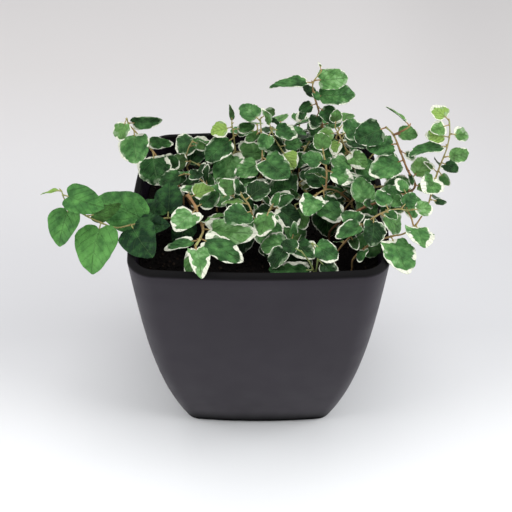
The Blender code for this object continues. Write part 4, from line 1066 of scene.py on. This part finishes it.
def make_blade(name, half, ruffle, seed, steps, rings):
    """A closed unit blade: base at the origin, tip at +X, a width of 1, upper face up."""
    draw = random.Random(seed)
    lean = draw.uniform(-BLADE_LEAN, BLADE_LEAN)
    left, right = draw.uniform(*BLADE_SIDES), draw.uniform(*BLADE_SIDES)
    controls = [(u, v * left) for u, v in half] + [(u, -v * right) for u, v in reversed(half[1:-1])]
    centre = Vector(BLADE_MIDDLE)
    rim = ruffled_rim(smooth_outline(controls, steps), centre, ruffle, seed)
    rows = [(centre, 0.0, MIDDLE_TO_MARGIN, 0.0)]
    for share in rings:
        for point, swell in rim:
            rows.append((centre.lerp(point, share), share, (1 - share) * (point - centre).length, swell))
    upper, lower, blade, flutter = [], [], [], []
    for place, share, edge, swell in rows:
        u, v = place.x, place.y
        height = blade_height(u, v, share) + ruffle * MARGIN_LIFT * swell * share ** 3
        thick = BLADE_THIN * (1 - MARGIN_THINNER * share ** 4)
        bend = lean * math.sin(math.pi * min(1.0, max(0.0, u)))
        upper.append((u, v + bend, height + thick))
        lower.append((u, v + bend, height - thick))
        blade.append((u, v, edge))
        flutter.append(share ** 2)
    mesh = bpy.data.meshes.new(name)
    mesh.from_pydata(upper + lower, [], blade_faces(len(rim), len(rings)))
    fill_attribute(mesh, "blade", "FLOAT_VECTOR", blade * 2)
    fill_attribute(mesh, "under", "FLOAT", [0.0] * len(upper) + [1.0] * len(lower))
    fill_attribute(mesh, "flutter", "FLOAT", flutter * 2)
    finish_mesh(mesh, LEAF_SHARP)
    return bpy.data.objects.new(name, mesh)


def sweep(shape, points, radii):
    """A closed round tube through points."""
    rings = []
    side = Vector((0, 1, 0))
    for index, (point, radius) in enumerate(zip(points, radii)):
        ahead = (points[min(index + 1, len(points) - 1)] - points[max(index - 1, 0)]).normalized()
        side = (side - ahead * side.dot(ahead)).normalized()
        other = ahead.cross(side)
        turns = [2 * math.pi * k / TUBE_SIDES for k in range(TUBE_SIDES)]
        rings.append([shape.verts.new(point + (side * math.cos(turn) + other * math.sin(turn)) * radius)
                      for turn in turns])
    for first, second in zip(rings, rings[1:]):
        for k in range(TUBE_SIDES):
            after = (k + 1) % TUBE_SIDES
            shape.faces.new((first[k], first[after], second[after], second[k]))
    shape.faces.new(list(reversed(rings[0])))
    shape.faces.new(rings[-1])


def make_stalk(name):
    """A leaf's stalk along +X from the middle of its stem, with the pointed bud at its foot."""
    shape = bmesh.new()
    stalk = [Vector((STALK_LENGTH * STALK_REACH * t, 0, STALK_ARCH * math.sin(math.pi * t) * t))
             for t in STALK_PLACES]
    sweep(shape, stalk, STALK_RADII)
    sweep(shape, [Vector(point) for point in BUD_POINTS], BUD_RADII)
    mesh = mesh_of(name, shape)
    finish_mesh(mesh, LEAF_SHARP)
    fill_attribute(mesh, "woody", "FLOAT", [1.0] * len(mesh.vertices))
    return bpy.data.objects.new(name, mesh)


def store(name, things):
    """A collection that holds shapes to be repeated or cut out, not shown by itself."""
    group = bpy.data.collections.new(name)
    for thing in things:
        group.objects.link(thing)
    return group


def clear_away(*groups):
    """Removes collections of shapes that have been used."""
    for group in groups:
        for thing in list(group.objects):
            bpy.data.objects.remove(thing)
        bpy.data.collections.remove(group)


def new_tree(name, sockets):
    """An empty Geometry Nodes tree with a Geometry in and out and the named inputs."""
    tree = bpy.data.node_groups.new(name, "GeometryNodeTree")
    for socket, kind in (("Geometry", "Geometry"), *sockets):
        tree.interface.new_socket(socket, in_out="INPUT", socket_type="NodeSocket" + kind)
    tree.interface.new_socket("Geometry", in_out="OUTPUT", socket_type="NodeSocketGeometry")
    return tree, add(tree, "NodeGroupInput").outputs


def finish_tree(tree, geometry):
    """Ends a tree with that geometry."""
    add(tree, "NodeGroupOutput", {"Geometry": geometry})
    return tree


def own_value(tree, name, kind="FLOAT"):
    """A named value of the geometry's points."""
    return add(tree, "GeometryNodeInputNamedAttribute", {"Name": name}, data_type=kind).outputs["Attribute"]


def by_chance(tree, kind, low, high, seed):
    """A value of that kind between two, drawn anew for each point."""
    place = RANDOM_PLACES[kind]
    made = add(tree, "FunctionNodeRandomValue", {2 * place: low, 2 * place + 1: high, "Seed": seed},
               data_type=kind)
    return made.outputs[place]


def marked(tree, geometry, name, value):
    """A geometry whose points carry that named value."""
    return add(tree, "GeometryNodeStoreNamedAttribute", {"Geometry": geometry, "Name": name,
                                                         "Value": value}, data_type="FLOAT").outputs[0]


def picked(tree, source, kind):
    """The part of a geometry whose points are of that kind."""
    same = add(tree, "FunctionNodeCompare", {2: own_value(tree, "kind", "INT"), 3: kind}, data_type="INT",
               operation="EQUAL")
    return add(tree, "GeometryNodeSeparateGeometry", {"Geometry": source, "Selection": same.outputs[0]},
               domain="POINT").outputs["Selection"]


def stood_on(tree, points, shapes, which, turn, size):
    """The shapes of a collection on points, each picked, turned and sized by those values."""
    info = add(tree, "GeometryNodeCollectionInfo", {"Collection": shapes, "Separate Children": True,
                                                    "Reset Children": True})
    turned = add(tree, "FunctionNodeEulerToRotation", {"Euler": turn})
    return add(tree, "GeometryNodeInstanceOnPoints",
               {"Points": points, "Instance": info.outputs[0], "Pick Instance": True,
                "Instance Index": which, "Rotation": turned.outputs[0], "Scale": size}).outputs[0]


def made_real(tree, *parts):
    """Parts in one geometry, with their instances made real."""
    whole = add(tree, "GeometryNodeJoinGeometry")
    for part in parts:
        tree.links.new(part, whole.inputs[0])
    return add(tree, "GeometryNodeRealizeInstances", {"Geometry": whole.outputs[0]}).outputs[0]


def leafy_stem_tree():
    """Stems along the mesh's edges, and blades and stalks on its loose points."""
    tree, given = new_tree("leafy stem", (("Blades", "Collection"), ("Stalks", "Collection"),
                                          ("Flutter", "Float"), ("Leaf", "Material"), ("Bark", "Material")))
    lines = add(tree, "GeometryNodeMeshToCurve", {"Mesh": picked(tree, given["Geometry"], STEM)})
    smooth = add(tree, "GeometryNodeCurveSplineType", {"Curve": lines.outputs[0]},
                 spline_type="CATMULL_ROM")
    fine = add(tree, "GeometryNodeSetSplineResolution", {0: smooth.outputs[0], "Resolution": STEM_STEPS})
    ring = add(tree, "GeometryNodeCurvePrimitiveCircle", {"Resolution": STEM_SIDES, "Radius": 1.0})
    tubes = add(tree, "GeometryNodeCurveToMesh",
                {"Curve": fine.outputs[0], "Profile Curve": ring.outputs[0],
                 "Scale": own_value(tree, "thick"), "Fill Caps": True})
    values = (own_value(tree, "shape", "INT"), own_value(tree, "turn", "FLOAT_VECTOR"),
              own_value(tree, "size", "FLOAT_VECTOR"))
    stalks = stood_on(tree, picked(tree, given["Geometry"], STALK), given["Stalks"], *values)
    blades = stood_on(tree, picked(tree, given["Geometry"], BLADE), given["Blades"], *values)
    real = made_real(tree, marked(tree, tubes.outputs[0], "woody", 1.0), stalks, blades)
    ripple = add(tree, "ShaderNodeTexNoise", {"Scale": FLUTTER_SCALE, "Detail": 1.0})
    centred = add(tree, "ShaderNodeVectorMath", {0: ripple.outputs["Color"], 1: (0.5, 0.5, 0.5)},
                  operation="SUBTRACT")
    reach = times(tree, own_value(tree, "flutter"), given["Flutter"])
    offset = add(tree, "ShaderNodeVectorMath", {0: centred.outputs[0], "Scale": reach}, operation="SCALE")
    moved = add(tree, "GeometryNodeSetPosition", {"Geometry": real, "Offset": offset.outputs[0]})
    leafy = add(tree, "GeometryNodeSetMaterial", {"Geometry": moved.outputs[0], "Material": given["Leaf"]})
    is_woody = sums(tree, "GREATER_THAN", own_value(tree, "woody"), 0.5)
    barky = add(tree, "GeometryNodeSetMaterial", {"Geometry": leafy.outputs[0], "Selection": is_woody,
                                                  "Material": given["Bark"]})
    return finish_tree(tree, barky.outputs[0])


def crumb_tree():
    """Crumbs scattered over the upward faces of a mesh."""
    tree, given = new_tree("crumbs", (("Crumbs", "Collection"), ("Density", "Float"), ("Seed", "Int"),
                                      ("Smallest", "Float"), ("Largest", "Float"), ("Mix", "Material")))
    up = parts_of(tree, add(tree, "GeometryNodeInputNormal").outputs[0])["Z"]
    high = parts_of(tree, add(tree, "GeometryNodeInputPosition").outputs[0])["Z"]
    faces = times(tree, sums(tree, "GREATER_THAN", up, CRUMBS_FACE_UP),
                  sums(tree, "GREATER_THAN", high, (SOIL_LEVEL - CRUMBS_DOWN_TO) * MM))
    scattered = add(tree, "GeometryNodeDistributePointsOnFaces",
                    {"Mesh": given["Geometry"], "Selection": faces, "Density": given["Density"],
                     "Seed": given["Seed"]})
    shaded = marked(tree, scattered.outputs["Points"], "crumb", by_chance(tree, "FLOAT", 0.0, 1.0, 3))
    crumbs = stood_on(tree, shaded, given["Crumbs"], by_chance(tree, "INT", 0, CRUMB_KINDS - 1, 4),
                      by_chance(tree, "FLOAT_VECTOR", (0, 0, 0), (2 * math.pi,) * 3, 1),
                      by_chance(tree, "FLOAT", given["Smallest"], given["Largest"], 2))
    real = made_real(tree, crumbs, given["Geometry"])
    done = add(tree, "GeometryNodeSetMaterial", {"Geometry": real, "Material": given["Mix"]})
    return finish_tree(tree, done.outputs[0])


def grown(name, mesh, tree, values):
    """What a tree makes of a mesh with those inputs, as a plain object."""
    seed = new_object(name + "_seed", mesh)
    modifier = seed.modifiers.new("Grow", "NODES")
    modifier.node_group = tree
    for item in tree.interface.items_tree:
        if item.item_type == "SOCKET" and item.in_out == "INPUT" and item.name in values:
            modifier[item.identifier] = values[item.name]
    made = new_object(name, plain_mesh(seed))
    bpy.data.objects.remove(seed)
    return made


def stem_radii(curve, places, share):
    """A stem's radius along its curve: tapering, swollen where leaves grow from it."""
    radii = []
    for i in range(len(curve)):
        radius = STEM_BASE_RADIUS + (STEM_TIP_RADIUS - STEM_BASE_RADIUS) * i / (len(curve) - 1)
        nearest = min((abs(i / SAMPLES - place) for place in places), default=9.0)
        swollen = STEM_SLIM + STEM_SWELL * math.exp(-(nearest / STEM_SWELL_REACH) ** 2)
        radii.append(radius * share * swollen)
    return radii


def drawn_look(draw, youth, youth_power, cream, more_cream, tone):
    """A leaf's youth, cream and tone by chance."""
    return (youth * draw.uniform(0, 1) ** youth_power, cream + more_cream * draw.uniform(0, 1) ** 2,
            draw.uniform(0.0, tone))


def leaf_look(draw, node, place, root, to_tip, is_small):
    """Youth, cream and tone of a leaf: listed, or by chance and darker low in the crown."""
    near_tip = max(0.0, 1 - to_tip / YOUNG_WITHIN)
    young, cream, tone = drawn_look(draw, USUAL_LOOK[0] * near_tip, *USUAL_LOOK[1:])
    if is_small:
        young, cream, tone = drawn_look(draw, *SMALL_LOOK)
    # Painted shade: the lower a leaf grows in the crown, the darker its tone.
    shade = SHADE_DEPTH * min(1.0, max(0.0, (SHADE_BELOW - root.z) / SHADE_OVER))
    return LEAF_LOOKS.get(node, {}).get(place, (young, cream, tone - shade))


def leaf_shapes(node, length, is_small):
    """Which blades suit a leaf."""
    if node == "stem_left_runner":
        return PLAIN_SHAPES
    if is_small:
        return SMALL_SHAPES
    return LOBED_SHAPES if length >= LOBED_FROM else ROUND_SHAPES


def plant_points(name, shoots, curves, leaves, small):
    """The bare points of one leafy stem: its axes as edges, its blades and stalks as loose points."""
    draw = random.Random(name)
    bark = BARK_OF.get(name, BARK_USUAL)
    points, edges, rows = [], [], []
    for index, (s, curve) in enumerate(zip(shoots, curves)):
        if s["node"] != name:
            continue
        grown_here = [leaf for leaf in leaves + small if leaf[0] == index]
        small_at = {leaf[1] for leaf in small if leaf[0] == index}
        first = len(points)
        radii = stem_radii(curve, [leaf[1] for leaf in grown_here], STEM_SHARE.get(name, STEM_USUAL))
        for i, (place, radius) in enumerate(zip(curve, radii)):
            points.append(Vector(place) * MM)
            far = i / (len(curve) - 1)
            rows.append({"kind": STEM, "thick": radius * MM,
                         "bark": bark - (bark - BARK_AT_TIP) * far ** 3})
            if i:
                edges.append((first + i - 1, first + i))
        for _, place, root, axes, length, width in grown_here:
            is_small = place in small_at
            to_tip = len(s["path"]) - 1 - place
            young, cream, tone = leaf_look(draw, name, place, root, to_tip, is_small)
            shape = draw.choice(leaf_shapes(name, length, is_small))
            look = {"young": young, "cream": cream, "span": length, "tone": tone,
                    "bark": bark * BARK_OF_STALKS, "turn": tuple(Matrix(axes).transposed().to_euler())}
            full = length * MM * (1 if is_small else BLADE_FULL)
            points.append((root + axes[0] * STALK_LENGTH) * MM)
            rows.append({"kind": BLADE, "shape": shape, "size": (full, full * width, full), **look})
            slim = min(1.0, STALK_SLIMMEST + length / STALK_FULL_AT)
            points.append(root * MM)
            rows.append({"kind": STALK, "shape": 0, "size": (MM, slim * MM, slim * MM), **look})
    mesh = bpy.data.meshes.new(name + "_points")
    mesh.from_pydata(points, edges, [])
    for kind, empty, keys in POINT_VALUES:
        for key in keys:
            fill_attribute(mesh, key, kind, [row.get(key, empty) for row in rows])
    return mesh


def make_leafy_stems():
    """Every leafy stem, in place of its solid."""
    shoots = placed_shoots() + crown_shoots()
    curves = bend_clear(shoots)
    leaves = found_leaves(shoots, curves)
    small = small_leaves(shoots, curves, leaves)
    blades = store("blades", [make_blade(f"blade_{i}", *kind) for i, kind in enumerate(BLADE_KINDS)])
    stalks = store("stalks", [make_stalk("stalk")])
    tree = leafy_stem_tree()
    edged = make_leaf_material("cream-edged leaf", True)
    plain = make_leaf_material("plain green leaf", False)
    bark = make_stem_material()
    for name in sorted({s["node"] for s in shoots}):
        green = name == "stem_left_runner"
        made = grown(name + "_fine", plant_points(name, shoots, curves, leaves, small), tree,
                     {"Blades": blades, "Stalks": stalks, "Leaf": plain if green else edged,
                      "Flutter": (PLAIN_FLUTTER if green else EDGED_FLUTTER) * MM, "Bark": bark})
        for key in SPENT_VALUES:
            if key in made.data.attributes:
                made.data.attributes.remove(made.data.attributes[key])
        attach(made, "root")
        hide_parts(name)
    clear_away(blades, stalks)


def square_ring(half, corner, bulge, height):
    """Points round a square with round corners and softly bowed sides, anticlockwise from the +X side."""
    ring = []
    straight = half - bulge - corner
    for quarter in range(4):
        turn = Matrix.Rotation(quarter * math.pi / 2, 2)
        for step in range(SIDE_STEPS + 1):
            t = -1 + 2 * step / SIDE_STEPS
            ring.append(turn @ Vector((half - bulge * t * t, straight * t)))
        for step in range(1, CORNER_STEPS):
            angle = math.pi / 2 * step / CORNER_STEPS
            ring.append(turn @ Vector((straight + corner * math.cos(angle),
                                       straight + corner * math.sin(angle))))
    return [Vector((p.x, p.y, height)) for p in ring]


def wall_section(height):
    """Half-width, corner radius and bow of the wall's outer face at a height."""
    down = min(1.0, max(0.0, 1 - height / (POT_HEIGHT - POT_LIP)))
    curve = POT_CURVE_STRAIGHT * down + (1 - POT_CURVE_STRAIGHT) * down ** POT_CURVE_POWER
    return (POT_TOP_HALF - (POT_TOP_HALF - POT_BASE_HALF) * curve,
            POT_CORNER_TOP + (POT_CORNER_BASE - POT_CORNER_TOP) * down,
            POT_BULGE_TOP + (POT_BULGE_BASE - POT_BULGE_TOP) * down)


def inset_ring(height, inset):
    """The wall's outline at a height, moved inward."""
    half, corner, bulge = wall_section(height)
    return square_ring(half - inset, max(SMALLEST_CORNER, corner - inset), bulge, height)


def ringed_mesh(name, rings):
    """A closed mesh through a stack of rings, capped at both ends."""
    around = len(rings[0])
    points = [point * MM for ring in rings for point in ring]
    faces = []
    for level in range(len(rings) - 1):
        for i in range(around):
            a = level * around + i
            b = level * around + (i + 1) % around
            faces.append((a, b, b + around, a + around))
    faces.append(tuple(reversed(range(around))))
    faces.append(tuple(range(len(points) - around, len(points))))
    mesh = bpy.data.meshes.new(name)
    mesh.from_pydata(points, [], faces)
    return mesh


def pot_rings():
    """The pot's outline all the way: foot, wall, lip, ledge, inner wall and inner floor."""
    angles = [math.pi / 2 * step / ROUND_STEPS for step in range(ROUND_STEPS + 1)]
    rounding = [(1 - math.sin(angle), 1 - math.cos(angle)) for angle in angles]
    top = POT_HEIGHT - POT_LIP
    inside = POT_LIP_ROUND + POT_LIP_FLAT
    under_ledge = POT_HEIGHT - LIP_DEPTH - LEDGE_DROP
    to_floor = POT_FLOOR + FLOOR_ROUND - under_ledge
    rings = [inset_ring(POT_FOOT_ROUND * rise, POT_FOOT_ROUND * fall) for fall, rise in rounding]
    rings += [inset_ring(POT_FOOT_ROUND + (top - POT_FOOT_ROUND) * step / WALL_STEPS, 0)
              for step in range(1, WALL_STEPS)]
    rings += [inset_ring(POT_HEIGHT - POT_LIP * fall, POT_LIP_ROUND * rise) for fall, rise in rounding]
    rings += [inset_ring(POT_HEIGHT, inside - LIP_EASED), inset_ring(POT_HEIGHT - LIP_EASED, inside),
              inset_ring(POT_HEIGHT - LIP_DEPTH, inside)]
    rings += [inset_ring(under_ledge + to_floor * step / (WALL_STEPS // 2), POT_WALL)
              for step in range(WALL_STEPS // 2)]
    rings += [inset_ring(POT_FLOOR + FLOOR_ROUND * fall, POT_WALL + FLOOR_ROUND * rise)
              for fall, rise in rounding]
    return rings


def make_drain(x, y):
    """What is cut out of the pot's floor for one drain hole."""
    shape = bmesh.new()
    bmesh.ops.create_cone(shape, cap_ends=True, segments=DRAIN_SIDES, radius1=DRAIN_RADIUS * MM,
                          radius2=DRAIN_RADIUS * MM, depth=3 * POT_FLOOR * MM,
                          matrix=Matrix.Translation((x * MM, y * MM, POT_FLOOR * MM / 2)))
    return bpy.data.objects.new("drain", mesh_of("drain", shape))


def make_pot():
    """The pot, with its rounded lip and foot, in place of its solid."""
    pot = new_object("pot_fine", ringed_mesh("pot_fine", pot_rings()))
    places = (-DRAIN_AT, DRAIN_AT)
    cut = pot.modifiers.new("Drains", "BOOLEAN")
    cut.operation = "DIFFERENCE"
    cut.operand_type = "COLLECTION"
    cut.collection = store("drains", [make_drain(x, y) for x in places for y in places])
    cut.solver = "EXACT"
    mesh = plain_mesh(pot)
    clear_away(cut.collection)
    pot.modifiers.remove(cut)
    pot.data = mesh
    mesh.materials.clear()
    mesh.materials.append(make_pot_material())
    finish_mesh(mesh, POT_SHARP)
    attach(pot, "root")
    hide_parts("pot")


def soil_height(x, y):
    """Height of the soil's surface: a low dome, soft lumps, and the roughness of the mix."""
    fall = (x * x + y * y) / SOIL_DOME_RADIUS ** 2
    lumps = BROAD_LUMPS * math.sin(x * BROAD_WAVES[0] + 1) * math.cos(y * BROAD_WAVES[1])
    lumps += SMALL_LUMPS * math.sin(x * SMALL_WAVES[0] - y * SMALL_WAVES[1])
    rough = noise.fractal(Vector((x, y, 0)) * ROUGH_WAVES, 1.0, 2.0, 3) * SOIL_ROUGHNESS
    return SOIL_LEVEL + SOIL_DOME * max(0.0, 1 - fall) + lumps + rough - SOIL_ROUGHNESS / 2


def make_crumb(name, seed):
    """A small rough crumb of about unit radius."""
    shape = bmesh.new()
    bmesh.ops.create_icosphere(shape, subdivisions=1, radius=1)
    for vertex in shape.verts:
        vertex.co *= 1 + CRUMB_ROUGH * noise.noise(vertex.co * CRUMB_LUMPS
                                                  + Vector((seed * CRUMBS_APART, 0, 0)))
        vertex.co.z *= CRUMB_FLAT
    return bpy.data.objects.new(name, mesh_of(name, shape))


def make_soil():
    """The soil with its crumbly top, in place of its solid."""
    rings = [inset_ring(POT_FLOOR + GAP, POT_WALL + FLOOR_ROUND + GAP)]
    rings += [inset_ring(height, POT_WALL + GAP) for height in SOIL_LEVELS]
    edge = inset_ring(SOIL_LEVEL, POT_WALL + GAP + SOIL_EDGE)
    for step in range(SOIL_TOP_RINGS):
        scale = 1 - step / SOIL_TOP_RINGS
        rings.append([Vector((p.x * scale, p.y * scale, soil_height(p.x * scale, p.y * scale)))
                      for p in edge])
    mesh = ringed_mesh("soil_points", rings)
    fill_attribute(mesh, "crumb", "FLOAT", [SOIL_CRUMB_SHADE] * len(mesh.vertices))
    crumbs = store("crumbs", [make_crumb(f"crumb_{i}", i) for i in range(CRUMB_KINDS)])
    soil = grown("soil_fine", mesh, crumb_tree(),
                 {"Crumbs": crumbs, "Density": CRUMB_DENSITY, "Seed": CRUMB_SEED,
                  "Smallest": CRUMB_RADII[0] * MM, "Largest": CRUMB_RADII[1] * MM,
                  "Mix": make_soil_material()})
    clear_away(crumbs)
    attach(soil, "root")
    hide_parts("soil")


def make_floor():
    """A wide pale tabletop."""
    mesh = bpy.data.meshes.new("tabletop")
    half = FLOOR_HALF * MM
    mesh.from_pydata([(-half, -half, 0), (half, -half, 0), (half, half, 0), (-half, half, 0)], [],
                     [(0, 1, 2, 3)])
    mesh.materials.append(make_floor_material())
    new_object("tabletop", mesh)


def aim(made, place, target):
    """Puts a light or camera at a place, in metres, and turns it to a target."""
    made.location = place
    made.rotation_euler = (target - made.location).to_track_quat("-Z", "Y").to_euler()


def make_light(name, place, size, power, colour):
    """A square soft light that looks at the pot."""
    light = bpy.data.lights.new(name, "AREA")
    light.size = size * MM
    light.energy = power
    light.color = colour
    aim(new_object(name, light), Vector(place) * MM, Vector(LIGHTS_LOOK_AT) * MM)


def make_lights():
    """Soft studio light: an even room, and large soft lights above and at both sides."""
    for light in LIGHTS:
        make_light(*light)
    room = bpy.data.worlds.new("room")
    room.use_nodes = True
    background = room.node_tree.nodes["Background"]
    background.inputs["Color"].default_value = (*ROOM_COLOUR, 1)
    background.inputs["Strength"].default_value = ROOM_STRENGTH
    bpy.context.scene.world = room


def make_camera():
    """The camera at the photograph's place."""
    camera = bpy.data.cameras.new("camera")
    camera.sensor_width = SENSOR
    camera.lens = LENS
    camera.clip_start = NEAREST_SEEN * MM
    made = new_object("camera", camera)
    down = math.radians(CAMERA_DOWN)
    target = Vector(LOOKS_AT)
    aim(made, (target + Vector((0, -math.cos(down), math.sin(down))) * CAMERA_DISTANCE) * MM, target * MM)
    bpy.context.scene.camera = made
    bpy.context.scene.view_settings.view_transform = "Standard"


make_camera()
make_floor()
make_lights()
make_pot()
make_soil()
make_leafy_stems()
